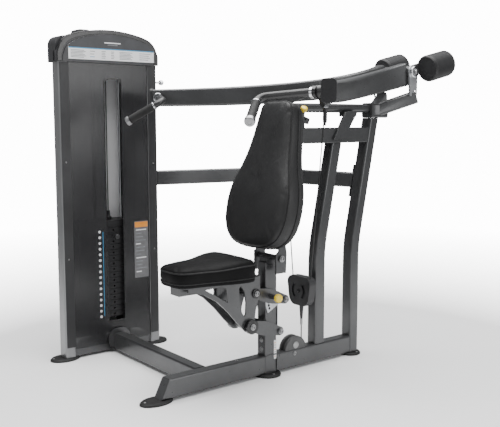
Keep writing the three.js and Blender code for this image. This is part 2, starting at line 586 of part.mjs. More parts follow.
const shellFront = PULLEY.y - 21, shellRear = PULLEY.y + 21;
const cheek = roundRect(150, 144, 40, 5).map(([x, z]) => [x * (1 + z * 0.0021), PULLEY.z + z]);
const kidney = (s) => Array.from({ length: 9 }, (_, i) => {
  const a = (-52 + 13 * i) * Math.PI / 180;
  return [s * 48 * Math.cos(a), 44 * Math.sin(a)];
}).concat(Array.from({ length: 9 }, (_, i) => {
  const a = (52 - 13 * i) * Math.PI / 180;
  return [s * 31 * Math.cos(a), 36 * Math.sin(a)];
})).map(([x, z]) => [x, PULLEY.z + z]);
const fatStrap = tube(strapPath(PULLEY.r), CABLE_R + 1.2, Y, 10);
const drop = turned([[0, 0], [11, 0], [10, 20], [6, 74], [0, 74]],
  V(0, PULLEY.y, PULLEY.z - 66), V(0, 0, -1), 16);
add('pulley_block', union(cut(plateXZ(cheek, shellFront, shellRear),
  plateXZ(kidney(1), shellFront - 5, shellFront + 7), plateXZ(kidney(-1), shellFront - 5, shellFront + 7),
  fatStrap), drop), M.black);
const liftTop = PULLEY.z - 66 - 74 - GAP;
add('lift_cable', rod(V(0, PULLEY.y, LOW.z), V(0, PULLEY.y, liftTop), CABLE_R, 10), M.black);
add('low_pulley', turned([[0, 0], [LOW.r - 3, 0], [LOW.r, 3], [LOW.r, 16], [LOW.groove, 19], [LOW.groove, 31],
  [LOW.r, 34], [LOW.r, 47], [LOW.r - 3, 50], [0, 50]], V(-25, LOW.y, LOW.z), X, 36), M.plate);

// ---------------------------------------------------------------- seat linkage
const A = LINK_A, B = LINK_B;
const A1 = { y: A.y + LINK.y, z: A.z + LINK.z }, B1 = { y: B.y + LINK.y, z: B.z + LINK.z };
const linkTilt = Math.atan2(LINK.z, LINK.y);
const pinAt = (deg, r = SEAT_PIN_R) => {
  const a = linkTilt + (deg * Math.PI) / 180;
  return { y: A.y + r * Math.cos(a), z: A.z + r * Math.sin(a) };
};
const across = (p, x0, x1, r, n = 24) => rod(V(x0, p.y, p.z), V(x1, p.y, p.z), r, n);

// Bracket on the post: cheeks with the two rear pivots and a fan of holes for the pop-pin.
const fan = [[A.y, A.z]];
for (let d = -9; d <= 45; d += 6) {
  const p = pinAt(d, SEAT_PIN_R + 16);
  fan.push([p.y, p.z]);
}
const cheekSide = (s) => {
  const x0 = s > 0 ? 30 + GAP : -36, x1 = s > 0 ? 36 : -30 - GAP;
  return union(plateYZ(fan, x0, x1), plateYZ(capsule({ y: 34, z: A.z }, A, 17), x0, x1),
    plateYZ(capsule({ y: 26, z: B.z }, B, 17), x0, x1));
};
const rearWeb = box(-33, 33, post1 + GAP, post1 + 5, 200, 372);
const fanHoles = [0, 9, 18, 27, 36].map((d) => across(pinAt(d), -60, 60, 6.5, 10));
const postBolt = (p) => turned(
  [[0, 0], [13, 0], [13, 8], [LINK_BOLT, 8], [LINK_BOLT, 100], [13, 100], [13, 108], [0, 108]],
  V(-54, p.y, p.z), X, 32);
add('link_bracket', union(cut(union(cheekSide(1), cheekSide(-1), rearWeb), ...fanHoles),
  postBolt(A), postBolt(B)), M.silver);

// Outline of a link plate: round at both pivots and wider between them.
function leaf(a, b, r, bulge, n = 10) {
  const len = Math.hypot(b.y - a.y, b.z - a.z), cy = (b.y - a.y) / len, cz = (b.z - a.z) / len;
  const at = (u, v) => [a.y + u * cy - v * cz, a.z + u * cz + v * cy];
  const pts = [];
  for (let i = 1; i < n; i++) pts.push(at(-r * Math.sin((Math.PI * i) / n), r * Math.cos((Math.PI * i) / n)));
  for (let i = 0; i <= n; i++) pts.push(at((len * i) / n, -r - bulge * Math.sin((Math.PI * i) / n) ** 1.4));
  for (let i = 1; i < n; i++) {
    const a = (Math.PI * i) / n;
    pts.push(at(len + r * Math.sin(a), -r * Math.cos(a)));
  }
  for (let i = n; i >= 0; i--) pts.push(at((len * i) / n, r + bulge * Math.sin((Math.PI * i) / n) ** 1.4));
  return pts;
}

// Links: two side plates each, joined by the front hub.
const bore = (p, r = LINK_BOLT + FIT) => across(p, -90, 90, r, 32);
function linkPiece(rear, front, r, hubR) {
  const side = (x0) => plateYZ(leaf(front, rear, r, 12), x0, x0 + 8);
  return union(side(37), side(-45), across(front, -45, 45, hubR, 28));
}
const pinHome = pinAt(0);
const barrel = across(pinHome, 44, 84, 13, 20);
add('seat_link_upper', cut(union(linkPiece(A, A1, 21, 20), barrel), bore(A), bore(A1),
  across(pinHome, 30, 90, 6 + FIT, 32)), M.frame);
add('seat_link_lower', cut(linkPiece(B, B1, 21, 20), bore(B), bore(B1)), M.frame);
add('seat_pin', turned([[0, 0], [6, 0], [6, 48], [17, 50], [20, 54], [20, 72], [16, 77], [0, 77]],
  V(37, pinHome.y, pinHome.z), X, 32), M.yellow);

// Carrier: side plates outside the links, a top plate and a block under the seat's front.
const carrierSide = [
  [-480, 486], [-88, 486], [-86, 430], [-92, 398], [-112, 340], [-118, 300], [-118, 262], [-130, 243],
  [-152, 240], [-172, 246], [-215, 290], [-270, 352], [-330, 408], [-395, 446], [-450, 462], [-480, 468]];
const carrierHole = [[-392, 468], [-300, 472], [-276, 462], [-268, 428], [-272, 396],
  [-300, 412], [-345, 442]];
const carrierSlit = [[-196, 462], [-176, 430], [-168, 380], [-170, 330], [-178, 318],
  [-192, 338], [-206, 400], [-208, 450]];
const wing = (x0) => cut(plateYZ(carrierSide, x0, x0 + 8),
  plateYZ(carrierHole, x0 - 1, x0 + 9), plateYZ(carrierSlit, x0 - 1, x0 + 9));
const deck = plateXY([[-56, -500], [56, -500], [70, -400], [70, -120],
  [56, -86], [-56, -86], [-70, -120], [-70, -400]],
  485, SEAT_Z - GAP);
const block = box(-34, 34, -512, -424, 452, 486);
add('seat_carrier', union(wing(48), wing(-56), deck, block, box(-50, 50, -262, -250, 400, 486),
  across(A1, -66, 66, LINK_BOLT, 32), across(B1, -78, 78, LINK_BOLT, 32), across(A1, 50, 62, 20, 20),
  across(A1, -62, -50, 20, 20), across(B1, 50, 74, 32, 24), across(B1, -74, -50, 32, 24)), M.frame);

const seatHalf = [[0, -548], [46, -546], [84, -528], [101, -488], [109, -435], [124, -378], [141, -322],
  [153, -268], [157, -222], [146, -190], [100, -177], [0, -174]];
const flat = new THREE.Matrix4().makeTranslation(0, 0, SEAT_Z);
const rearRise = (y) => 1 + 0.2 * THREE.MathUtils.smoothstep(y, -400, -215);
add('seat_cushion', cushion(mirroredOutline(seatHalf, 44), SEAT_T, 18, SEAT_CROWN, flat, rearRise), M.vinyl);

// ---------------------------------------------------------------- back pad
// Hinge tube on the post top, with the bolts the pad's bracket turns on.
const saddle = cut(box(-28, 28, -24, 33, 500, HINGE.z),
  plateYZ([[-80, 400], [80, 400], [80, POST_TOP_R - 14.8 + GAP], [-80, POST_TOP_F + 14.8 + GAP]], -60, 60));
add('back_hinge', union(saddle, across(HINGE, -70, 70, 14, 24), across(HINGE, -90, 90, 8, 32)), M.frame);

const padUp = V(0, Math.sin(PAD_LEAN), Math.cos(PAD_LEAN));
const padOut = V(0, -Math.cos(PAD_LEAN), Math.sin(PAD_LEAN));
const padPlace = new THREE.Matrix4().makeBasis(X, padUp, padOut)
  .setPosition(0, PAD_FOOT.y, PAD_FOOT.z);
const padHalf = [[0, 24], [80, 29], [138, 46], [182, 80], [207, 130], [216, 190], [214, 248], [203, 304],
  [185, 354], [167, 402], [149, 462], [134, 535], [121, 600], [110, 650], [96, 688], [62, 703], [0, PAD_LEN]];
const lumbar = (v) => 1 + 0.34 * (1 - THREE.MathUtils.smoothstep(v, 230, 560));
add('back_cushion', cushion(mirroredOutline(padHalf, 52), PAD_T, 20, PAD_CROWN, padPlace, lumbar), M.vinyl);
const shellHalf = padHalf.map(([x, y]) => [x * 0.93, 16 + y * 0.955]);
const shellPlate = plateXY(mirroredOutline(shellHalf, 40), -20, -GAP).applyMatrix4(padPlace);
add('back_shell', shellPlate, M.shell);

// Bracket behind the pad: spine, foot plate, two hinge cheeks and the curved guide strut.
const inPad = (x0, x1, v0, v1, w0, w1) => box(x0, x1, v0, v1, w0, w1).applyMatrix4(padPlace);
const cheekPlate = (x0) => plateYZ([[-14, 496], [46, 496], [50, 590], [33, 672], [27, 684],
  [20, 684], [2, 598], [-14, 586]],
  x0, x0 + 8, [ring(HINGE.y, HINGE.z, 8 + FIT, 32)]);
const strutPath = [];
for (let i = 0; i <= 8; i++) {
  const y = 141 + 13.5 * i;
  strutPath.push(V(0, y, HINGE.z + Math.sqrt(STRUT_R ** 2 - (y - HINGE.y) ** 2)));
}
const strut = (grow) => sweep(strutPath, roundRect(STRUT_W + grow, STRUT_H + grow, 3), X);
const strutHoles = [-10, 14, 38].map((d) => rod(V(-30, BACK_PIN.y + d, BACK_PIN.z - d * 0.26),
  V(30, BACK_PIN.y + d, BACK_PIN.z - d * 0.26), 5.5, 14));
add('back_bracket', union(
  inPad(-32, 32, 40, 672, -28, -20 - GAP), inPad(-82, 82, 30, 106, -28, -20 - GAP),
  cheekPlate(74), cheekPlate(-82), cut(strut(0), ...strutHoles)), M.frame);

// Guide between the upper beam and tube, with the second pop-pin.
const guide = box(-30, 30, 172, 202, UPPER_Z1 + GAP, TUBE_Z - TUBE_R - GAP);
const backPinDir = V(0.58, -0.16, 0.8).normalize();      // it leans outwards from upright
const pinOn = (t) => V(14, BACK_PIN.y + 5, BACK_PIN.z - 8).addScaledVector(backPinDir, t);
const guideBarrel = rod(pinOn(8), pinOn(38), 11, 18);
const throat = sweep([V(0, 150, 1228), ...strutPath.filter((p) => p.y > 160 && p.y < 215)],
  roundRect(STRUT_W + 1, STRUT_H + 1, 3), X);
add('strut_guide', cut(union(guide, guideBarrel), throat,
  rod(pinOn(2), pinOn(60), 5 + FIT, 28)), M.frame);
add('back_pin', turned([[0, 0], [5, 0], [5, 36], [14, 38], [17, 42], [17, 58], [13, 62], [0, 62]],
  pinOn(6), backPinDir, 28), M.yellow);

// ---------------------------------------------------------------- floor feet
// Flat oval plates with a bevelled rim; half lengths run along x and y.
const foot = (name, x, y, rx, ry) => {
  const g = turned([[0, 0], [1, 0], [1, 6], [0.9, BEAM_Z0 - GAP], [0, BEAM_Z0 - GAP]], V(0, 0, 0), Z, 28);
  add(`foot_${name}`, g.scale(rx, ry, 1).translate(x, y, 0), M.rubber);
};
foot('front', 0, -612, 50, 78);
foot('post', 0, 0, 70, 66);
foot('rear', 0, REAR_UP_Y, 58, 56);
foot('tower_front', -808, -652, 54, 76);
foot('tower_rear', -808, -122, 54, 66);

export default root;
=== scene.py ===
"""Looks of the shoulder press machine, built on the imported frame. Metres, the CAD's own frame."""
import json
import math
import bpy
import bmesh
from mathutils import Matrix, Vector, noise


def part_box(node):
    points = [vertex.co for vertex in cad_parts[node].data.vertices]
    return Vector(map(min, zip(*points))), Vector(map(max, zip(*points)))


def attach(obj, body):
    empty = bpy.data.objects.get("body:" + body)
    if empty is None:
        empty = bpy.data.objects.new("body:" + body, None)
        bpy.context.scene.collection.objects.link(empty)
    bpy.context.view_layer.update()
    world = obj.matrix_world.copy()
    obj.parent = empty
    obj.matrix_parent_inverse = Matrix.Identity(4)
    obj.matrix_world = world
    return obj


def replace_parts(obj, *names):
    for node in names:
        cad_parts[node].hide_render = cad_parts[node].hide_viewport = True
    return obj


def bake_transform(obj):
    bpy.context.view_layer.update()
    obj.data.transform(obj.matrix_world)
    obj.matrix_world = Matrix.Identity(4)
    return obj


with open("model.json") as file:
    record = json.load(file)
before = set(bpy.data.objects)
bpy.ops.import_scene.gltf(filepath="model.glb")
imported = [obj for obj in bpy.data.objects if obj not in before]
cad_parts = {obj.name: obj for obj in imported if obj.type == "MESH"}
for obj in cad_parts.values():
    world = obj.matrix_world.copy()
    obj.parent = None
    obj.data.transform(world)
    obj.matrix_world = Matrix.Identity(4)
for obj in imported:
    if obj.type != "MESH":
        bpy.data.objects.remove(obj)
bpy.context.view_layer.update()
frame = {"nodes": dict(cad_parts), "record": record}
scene = bpy.context.scene
BODY_OF = {n: b for b, ns in frame["record"]["behaviour"]["bodies"].items() for n in ns}
SLOT_OF = {s["node"]: s["material_slot"] for s in frame["record"]["subparts"]}


# ------------------------------------------------------------------ camera
cam = bpy.data.objects.new("camera", bpy.data.cameras.new("camera"))
scene.collection.objects.link(cam)
cam.data.lens = 55.98
cam.data.sensor_width = 36.0
cam.location = (2.7574, -2.2820, 1.1987)
cam.rotation_euler = (math.radians(90 - 6.86), 0.0, math.radians(51.67))
cam.data.clip_end = 100
scene.camera = cam


# ------------------------------------------------------------------ materials
def nodes_of(name):
    m = bpy.data.materials.new(name)
    m.use_nodes = True
    nt = m.node_tree
    nt.nodes.clear()
    out = nt.nodes.new("ShaderNodeOutputMaterial")
    b = nt.nodes.new("ShaderNodeBsdfPrincipled")
    nt.links.new(b.outputs["BSDF"], out.inputs["Surface"])
    return m, nt, b


def tex(nt, kind, scale, coords, detail=3.0, rough=0.55):
    """Solid noise, or the cells of a Voronoi pattern."""
    if kind == "noise":
        t = nt.nodes.new("ShaderNodeTexNoise")
        t.inputs["Detail"].default_value = detail
        t.inputs["Roughness"].default_value = rough
    else:
        t = nt.nodes.new("ShaderNodeTexVoronoi")
        t.feature = "F1"
    t.inputs["Scale"].default_value = scale
    nt.links.new(coords, t.inputs["Vector"])
    return t.outputs[0]


def ramp(nt, value, lo, hi, a, b):
    r = nt.nodes.new("ShaderNodeMapRange")
    r.inputs["From Min"].default_value = lo
    r.inputs["From Max"].default_value = hi
    r.inputs["To Min"].default_value = a
    r.inputs["To Max"].default_value = b
    nt.links.new(value, r.inputs["Value"])
    return r.outputs["Result"]


def mix(nt, fac, a, b):
    m = nt.nodes.new("ShaderNodeMix")
    m.data_type = "RGBA"
    nt.links.new(fac, m.inputs["Factor"])
    m.inputs["A"].default_value = (*a, 1)
    m.inputs["B"].default_value = (*b, 1)
    return m.outputs["Result"]


def bump(nt, height, dist, strength=1.0, after=None):
    n = nt.nodes.new("ShaderNodeBump")
    n.inputs["Distance"].default_value = dist
    n.inputs["Strength"].default_value = strength
    nt.links.new(height, n.inputs["Height"])
    if after is not None:
        nt.links.new(after, n.inputs["Normal"])
    return n.outputs["Normal"]


def finish_of(name, dark, light, rough, metallic=0.0, grain=None, fine=None, coat=0.0, spec=0.5,
              spread=(0.35, 0.65), patch=7.0, coat_rough=0.12, ior=1.5):
    """A surface whose colour and gloss wander slowly, with one or two sizes of relief."""
    m, nt, b = nodes_of(name)
    co = nt.nodes.new("ShaderNodeTexCoord").outputs["Object"]
    wander = tex(nt, "noise", patch, co, 4.0)
    nt.links.new(mix(nt, ramp(nt, wander, *spread, 0.0, 1.0), dark, light), b.inputs["Base Color"])
    speck = tex(nt, "noise", patch * 9, co, 5.0, 0.65)
    nt.links.new(ramp(nt, speck, 0.3, 0.7, rough[0], rough[1]), b.inputs["Roughness"])
    b.inputs["Metallic"].default_value = metallic
    b.inputs["Specular IOR Level"].default_value = spec
    b.inputs["IOR"].default_value = ior
    if coat:
        b.inputs["Coat Weight"].default_value = coat
        b.inputs["Coat Roughness"].default_value = coat_rough
    n = None
    if grain:
        n = bump(nt, tex(nt, grain[0], grain[1], co, 2.0), grain[2])
    if fine:
        n = bump(nt, tex(nt, fine[0], fine[1], co, 2.0), fine[2], after=n)
    if n is not None:
        nt.links.new(n, b.inputs["Normal"])
    return m


M = {
    "paint": finish_of("charcoal_powder_coat", (0.066, 0.067, 0.069), (0.080, 0.081, 0.083), (0.27, 0.33),
                       0.6, ("noise", 900, 0.00003), ("noise", 220, 0.00004), coat=0.3, coat_rough=0.18),
    # tower columns: the frame paint made about three times lighter, painted reflection on the columns' faces
    "column": finish_of("column_coat_painted_reflection", (0.20, 0.202, 0.206), (0.225, 0.227, 0.231), (0.30, 0.33), 0.6,
                        ("noise", 900, 0.00003), ("noise", 220, 0.00004), coat=0.3, coat_rough=0.2),
    "dark_paint": finish_of("handle_coat", (0.018, 0.018, 0.019), (0.025, 0.025, 0.026), (0.34, 0.42), 0.0,
                            ("noise", 900, 0.00003), None, coat=0.1, coat_rough=0.2),
    # seat vinyl: the upholstery vinyl at about half its colour, painted shade on the seat pad
    "seat_vinyl_painted_shade": finish_of("seat_top_vinyl_painted_shade", (0.006, 0.006, 0.0062), (0.009, 0.009, 0.0092), (0.46, 0.56),
                            0.0, ("cells", 620, 0.00020), ("noise", 38, 0.0007), spec=0.5, ior=1.16),
    "silver": finish_of("silver_coat", (0.42, 0.43, 0.44), (0.5, 0.51, 0.52), (0.28, 0.36), 0.85,
                        ("noise", 900, 0.00004), None, coat=0.2),
    "chrome": finish_of("polished_chrome", (0.66, 0.67, 0.69), (0.74, 0.74, 0.76), (0.08, 0.16), 1.0,
                        patch=20),
    "brushed": finish_of("zinc_bolt", (0.26, 0.26, 0.265), (0.34, 0.34, 0.345), (0.25, 0.38), 1.0, patch=40),
    "black": finish_of("black_moulded", (0.014, 0.014, 0.015), (0.02, 0.02, 0.022), (0.38, 0.5), 0.0,
                       ("cells", 1400, 0.00006), None),
    "cap": finish_of("cap_moulded", (0.028, 0.028, 0.03), (0.038, 0.038, 0.041), (0.36, 0.46), 0.0,
                     ("cells", 1200, 0.00008), None),
    "bead": finish_of("edge_bead", (0.008, 0.008, 0.009), (0.012, 0.012, 0.013), (0.2, 0.3)),
    "rubber": finish_of("grip_rubber", (0.011, 0.011, 0.011), (0.017, 0.017, 0.017), (0.55, 0.7), 0.0,
                        ("noise", 700, 0.00012), None, spec=0.35),
    "vinyl": finish_of("upholstery_vinyl", (0.012, 0.012, 0.0125), (0.017, 0.017, 0.0175), (0.42, 0.52), 0.0,
                       ("cells", 620, 0.00020), ("noise", 38, 0.0007), spec=0.34),
    "piping": finish_of("piping_cord", (0.012, 0.012, 0.0125), (0.017, 0.017, 0.0175), (0.46, 0.54), 0.0,
                        ("cells", 900, 0.00006), None, spec=0.22),
    "shell": finish_of("back_shell", (0.012, 0.012, 0.013), (0.018, 0.018, 0.019), (0.45, 0.6), 0.0,
                       ("cells", 500, 0.0002), None),
    "shroud": finish_of("tower_lining", (0.16, 0.16, 0.165), (0.2, 0.2, 0.205), (0.5, 0.6), 0.0,
                        ("noise", 500, 0.00005), None),
    "stack": finish_of("stack_enamel", (0.010, 0.010, 0.011), (0.016, 0.016, 0.017), (0.35, 0.5), 0.2,
                       ("noise", 240, 0.0001), None),
    "weight": finish_of("weight_enamel", (0.011, 0.011, 0.012), (0.017, 0.017, 0.018), (0.42, 0.52), 0.1,
                        ("noise", 180, 0.00014), None),
    "yellow": finish_of("yellow_knob", (0.78, 0.55, 0.03), (0.84, 0.62, 0.05), (0.22, 0.3), 0.0, coat=0.4,
                        patch=30),
    "cable": finish_of("coated_cable", (0.01, 0.01, 0.01), (0.015, 0.015, 0.015), (0.3, 0.4)),
    "white": finish_of("label_white", (0.74, 0.75, 0.76), (0.8, 0.8, 0.81), (0.35, 0.45), 0.0, patch=30),
    "ink": finish_of("label_ink", (0.16, 0.17, 0.18), (0.22, 0.23, 0.24), (0.4, 0.5), 0.0, patch=60),
    "orange": finish_of("label_orange", (0.72, 0.25, 0.03), (0.78, 0.3, 0.04), (0.35, 0.45), 0.0, patch=40),
    "blue": finish_of("label_blue", (0.03, 0.2, 0.38), (0.04, 0.26, 0.46), (0.35, 0.45), 0.0, patch=40),
    "grey": finish_of("label_grey", (0.12, 0.12, 0.125), (0.15, 0.15, 0.155), (0.4, 0.5), 0.0, patch=40),
    "board": finish_of("placard_dark", (0.030, 0.031, 0.034), (0.040, 0.041, 0.045), (0.4, 0.5),
                       patch=12),
    "pulley": finish_of("pulley_nylon", (0.055, 0.055, 0.056), (0.07, 0.07, 0.071), (0.4, 0.5), 0.0,
                        ("noise", 260, 0.00008), patch=25),
    "liner": finish_of("tower_inner_wall", (0.78, 0.78, 0.79), (0.84, 0.84, 0.85), (0.5, 0.6), 0.0, patch=3),
}


def smoked():
    m, nt, b = nodes_of("smoked_panel")
    co = nt.nodes.new("ShaderNodeTexCoord").outputs["Object"]
    wander = tex(nt, "noise", 5, co, 3.0)
    nt.links.new(mix(nt, ramp(nt, wander, 0.35, 0.65, 0, 1), (0.020, 0.020, 0.0215), (0.026, 0.026, 0.0275)),
                 b.inputs["Base Color"])
    nt.links.new(ramp(nt, tex(nt, "noise", 30, co, 4.0), 0.3, 0.7, 0.24, 0.265), b.inputs["Roughness"])
    b.inputs["Alpha"].default_value = 0.84
    return m


M["smoke"] = smoked()
SLOT_MAT = {"frame_paint": "paint", "silver_paint": "silver", "chrome": "chrome", "black_plastic": "black",
            "black_rubber": "rubber", "vinyl": "vinyl", "smoked_panel": "smoke", "placard_white": "white",
            "stack_steel": "stack", "cable_black": "cable", "yellow_plastic": "yellow"}


# ------------------------------------------------------------------ mesh helpers
def object_of(name, bm, mat, body, angle=35.0, weighted=True):
    """One piece in one finish, riding a body. body is None for a piece that rides no body and stays where it
    is built.
    """
    me = bpy.data.meshes.new(name)
    bm.to_mesh(me)
    bm.free()
    for a in ("custom_normal", "UVMap"):
        if a in me.attributes:
            me.attributes.remove(me.attributes[a])
    me.materials.append(M[mat])
    me.polygons.foreach_set("use_smooth", [True] * len(me.polygons))
    me.set_sharp_from_angle(angle=math.radians(angle))
    ob = bpy.data.objects.new(name, me)
    scene.collection.objects.link(ob)
    if weighted:
        w = ob.modifiers.new("facing", "WEIGHTED_NORMAL")
        w.keep_sharp = True
        w.weight = 60
    if body:
        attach(ob, body)
    return ob


def dress(node, mat=None, bevel=0.0012, seg=2, angle=38.0):
    """The CAD node again with eased edges and smooth rounds, standing for it."""
    src = frame["nodes"][node]
    bm = bmesh.new()
    bm.from_mesh(src.data)
    bmesh.ops.remove_doubles(bm, verts=bm.verts, dist=2e-5)
    bmesh.ops.dissolve_limit(bm, angle_limit=math.radians(0.6), verts=bm.verts, edges=bm.edges)
    if bevel:
        sharp = [e for e in bm.edges if len(e.link_faces) == 2 and e.calc_face_angle(0) > math.radians(angle)]
        bmesh.ops.bevel(bm, geom=sharp, offset=bevel, offset_type="OFFSET", segments=seg, profile=0.6,
                        affect="EDGES", clamp_overlap=True)
    for f in bm.faces:
        f.material_index = 0
    ob = object_of("v_" + node, bm, mat or SLOT_MAT[SLOT_OF[node]], BODY_OF[node])
    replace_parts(ob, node)
    return ob


def basis_to(direction):
    return Vector((0, 0, 1)).rotation_difference(Vector(direction).normalized()).to_matrix()


def lathe(profile, origin, direction, seg=32, hexes=(), flutes=()):
    """Closed turned body: profile of (radius, distance) along the axis. The rings listed in hexes are
    six-sided, and those in flutes have eight shallow grooves."""
    bm = bmesh.new()
    rot = basis_to(direction)
    rings = []
    for i, (r, d) in enumerate(profile):
        ring = []
        if r <= 1e-9:
            ring.append(bm.verts.new(Vector(origin) + rot @ Vector((0, 0, d))))
        else:
            for k in range(seg):
                a = 2 * math.pi * k / seg
                rr = r
                if i in hexes:
                    rr = r / math.cos(((a + math.pi / 6) % (math.pi / 3)) - math.pi / 6)
                if i in flutes:
                    rr = r * (1 - 0.05 * max(0, math.cos(8 * a)))
                at = Vector((rr * math.cos(a), rr * math.sin(a), d))
                ring.append(bm.verts.new(Vector(origin) + rot @ at))
        rings.append(ring)
    for p, q in zip(rings, rings[1:]):
        n = max(len(p), len(q))
        for k in range(n):
            k2 = (k + 1) % n
            if len(p) == 1:
                bm.faces.new((p[0], q[k], q[k2]))
            elif len(q) == 1:
                bm.faces.new((p[k], q[0], p[k2]))
            else:
                bm.faces.new((p[k], q[k], q[k2], p[k2]))
    bmesh.ops.recalc_face_normals(bm, faces=bm.faces)
    return bm


def turned(name, profile, origin, direction, mat, body, seg=32, hexes=(), angle=32.0):
    return object_of(name, lathe(profile, origin, direction, seg, hexes), mat, body, angle)


def bolt(name, origin, direction, r, body, mat="brushed", washer=True):
    """Button-head screw with a hex socket, standing on its washer."""
    h = r * 0.62
    p = [(0, 0), (r * 1.45, 0), (r * 1.45, r * 0.16), (r * 1.38, r * 0.22)] if washer else [(0, 0)]
    b = r * 0.22 if washer else 0
    p += [(r, b), (r, b + h * 0.35), (r * 0.86, b + h * 0.78), (r * 0.6, b + h), (r * 0.46, b + h),
          (r * 0.44, b + h * 0.35), (0, b + h * 0.35)]
    n = len(p)
    return turned(name, p, origin, direction, mat, body, 24, hexes=(n - 3, n - 2))


def ring_frames(points, closed):
    n = len(points)
    out = []
    prev = None
    for i in range(n):
        a = points[(i - 1) % n] if closed or i > 0 else points[i]
        b = points[(i + 1) % n] if closed or i < n - 1 else points[i]
        t = (b - a).normalized()
        if prev is None:
            ref = Vector((0, 0, 1)) if abs(t.z) < 0.9 else Vector((1, 0, 0))
            u = (ref - t * ref.dot(t)).normalized()
        else:
            u = (prev - t * prev.dot(t)).normalized()
        prev = u
        out.append((u, t.cross(u)))
    return out


def sweep_tube(points, radius, closed=False, seg=10, ripple=None):
    bm = bmesh.new()
    pts = [Vector(p) for p in points]
    fr = ring_frames(pts, closed)
    rings = []
    for i, p in enumerate(pts):
        r = radius * (1 + (ripple(i) if ripple else 0))
        u, v = fr[i]
        turn = [2 * math.pi * k / seg for k in range(seg)]
        rings.append([bm.verts.new(p + u * (r * math.cos(a)) + v * (r * math.sin(a))) for a in turn])
    pairs = list(zip(rings, rings[1:])) + ([(rings[-1], rings[0])] if closed else [])
    for j, (p, q) in enumerate(pairs):
        shift = 0
        if closed and j == len(pairs) - 1:
            shift = min(range(seg), key=lambda s: sum(
                (p[k].co - q[(k + s) % seg].co).length for k in range(seg)))
        for k in range(seg):
            bm.faces.new((p[k], p[(k + 1) % seg], q[(k + 1 + shift) % seg], q[(k + shift) % seg]))
    if not closed:
        bm.faces.new(list(reversed(rings[0])))
        bm.faces.new(rings[-1])
    bmesh.ops.recalc_face_normals(bm, faces=bm.faces)
    return bm


def resample(points, step, closed=False):
    pts = [Vector(p) for p in points]
    if closed:
        pts = pts + [pts[0]]
    length = sum((b - a).length for a, b in zip(pts, pts[1:]))
    n = max(3, int(length / step))
    out, acc, i = [], 0.0, 0
    seg_len = (pts[1] - pts[0]).length
    for k in range(n if closed else n + 1):
        target = length * k / n
        while acc + seg_len < target - 1e-9 and i < len(pts) - 2:
            acc += seg_len
            i += 1
            seg_len = (pts[i + 1] - pts[i]).length
        f = (target - acc) / max(seg_len, 1e-9)
        out.append(pts[i].lerp(pts[i + 1], min(1.0, f)))
    return out


def weld(name, points, body, radius=0.0032, closed=True):
    """Weld bead: small overlapping ripples along a joint, under the paint."""
    pts = resample(points, 0.0022, closed)
    bm = sweep_tube(pts, radius, closed, 8, lambda i: 0.16 * math.sin(i * 2 * math.pi / 3.0)
                    + 0.12 * noise.noise(Vector((i * 0.31, 0, 0))))
    return object_of(name, bm, "paint", body, 70, weighted=False)


def rect_loop(c, u, v, a, b, r=0.009, n=4):
    """Rounded rectangle round c in the plane of u and v, half sizes a and b."""
    c, u, v = Vector(c), Vector(u), Vector(v)
    out = []
    for q, (sx, sy) in enumerate([(1, 1), (-1, 1), (-1, -1), (1, -1)]):
        for i in range(n + 1):
            t = math.pi / 2 * (q + i / n)
            out.append(c + u * (sx * (a - r) + r * math.cos(t)) + v * (sy * (b - r) + r * math.sin(t)))
    return out


def plate(name, outline, normal, thick, mat, body, bevel=0.0004):
    """Flat sheet: outline is a loop of points, raised along normal by thick."""
    bm = bmesh.new()
    n = Vector(normal).normalized()
    low = [bm.verts.new(Vector(p)) for p in outline]
    f = bm.faces.new(low)
    f.normal_update()
    if f.normal.dot(n) > 0:
        f.normal_flip()
    top = bmesh.ops.extrude_face_region(bm, geom=[f])
    vs = [g for g in top["geom"] if isinstance(g, bmesh.types.BMVert)]
    bmesh.ops.translate(bm, verts=vs, vec=n * thick)
    bmesh.ops.recalc_face_normals(bm, faces=bm.faces)
    if bevel:
        es = [e for e in bm.edges if e.calc_face_angle(0) > 0.9]
        bmesh.ops.bevel(bm, geom=es, offset=min(bevel, thick * 0.4), segments=1, affect="EDGES",
                        clamp_overlap=True)
    return object_of(name, bm, mat, body, 30)


def label_x(name, x, y0, y1, z0, z1, mat, r=0.002, thick=0.0006):
    """Flat rounded sheet that faces +X."""
    w, h = (y1 - y0) / 2, (z1 - z0) / 2
    loop = rect_loop((x, (y0 + y1) / 2, (z0 + z1) / 2), (0, 1, 0), (0, 0, 1), w, h, min(r, w / 1.1, h / 1.1))
    return plate(name, loop, (1, 0, 0), thick, mat, "frame", bevel=0)


def join(name, obs, body):
    """Several small pieces of one kind as one object."""
    bm = bmesh.new()
    mats = []
    for o in obs:
        base = len(bm.faces)
        bm.from_mesh(o.data)
        bm.faces.ensure_lookup_table()
        for f in list(bm.faces)[base:]:
            m = o.data.materials[f.material_index if f.material_index < len(o.data.materials) else 0]
            if m not in mats:
                mats.append(m)
            f.material_index = mats.index(m)
    me = bpy.data.meshes.new(name)
    bm.to_mesh(me)
    bm.free()
    for m in mats:
        me.materials.append(m)
    me.polygons.foreach_set("use_smooth", [True] * len(me.polygons))
    me.set_sharp_from_angle(angle=math.radians(32))
    ob = bpy.data.objects.new(name, me)
    scene.collection.objects.link(ob)
    for o in obs:
        bpy.data.objects.remove(o)
    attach(ob, body)
    return ob


def corners(node):
    return [v.co.copy() for v in frame["nodes"][node].data.vertices]


def axis_of(node, hint):
    """(start, direction, length) of a round node that lies along hint."""
    pts = corners(node)
    c = sum(pts, Vector()) / len(pts)
    d = Vector(hint).normalized()
    t = [(p - c).dot(d) for p in pts]
    return c + d * min(t), d, max(t) - min(t)


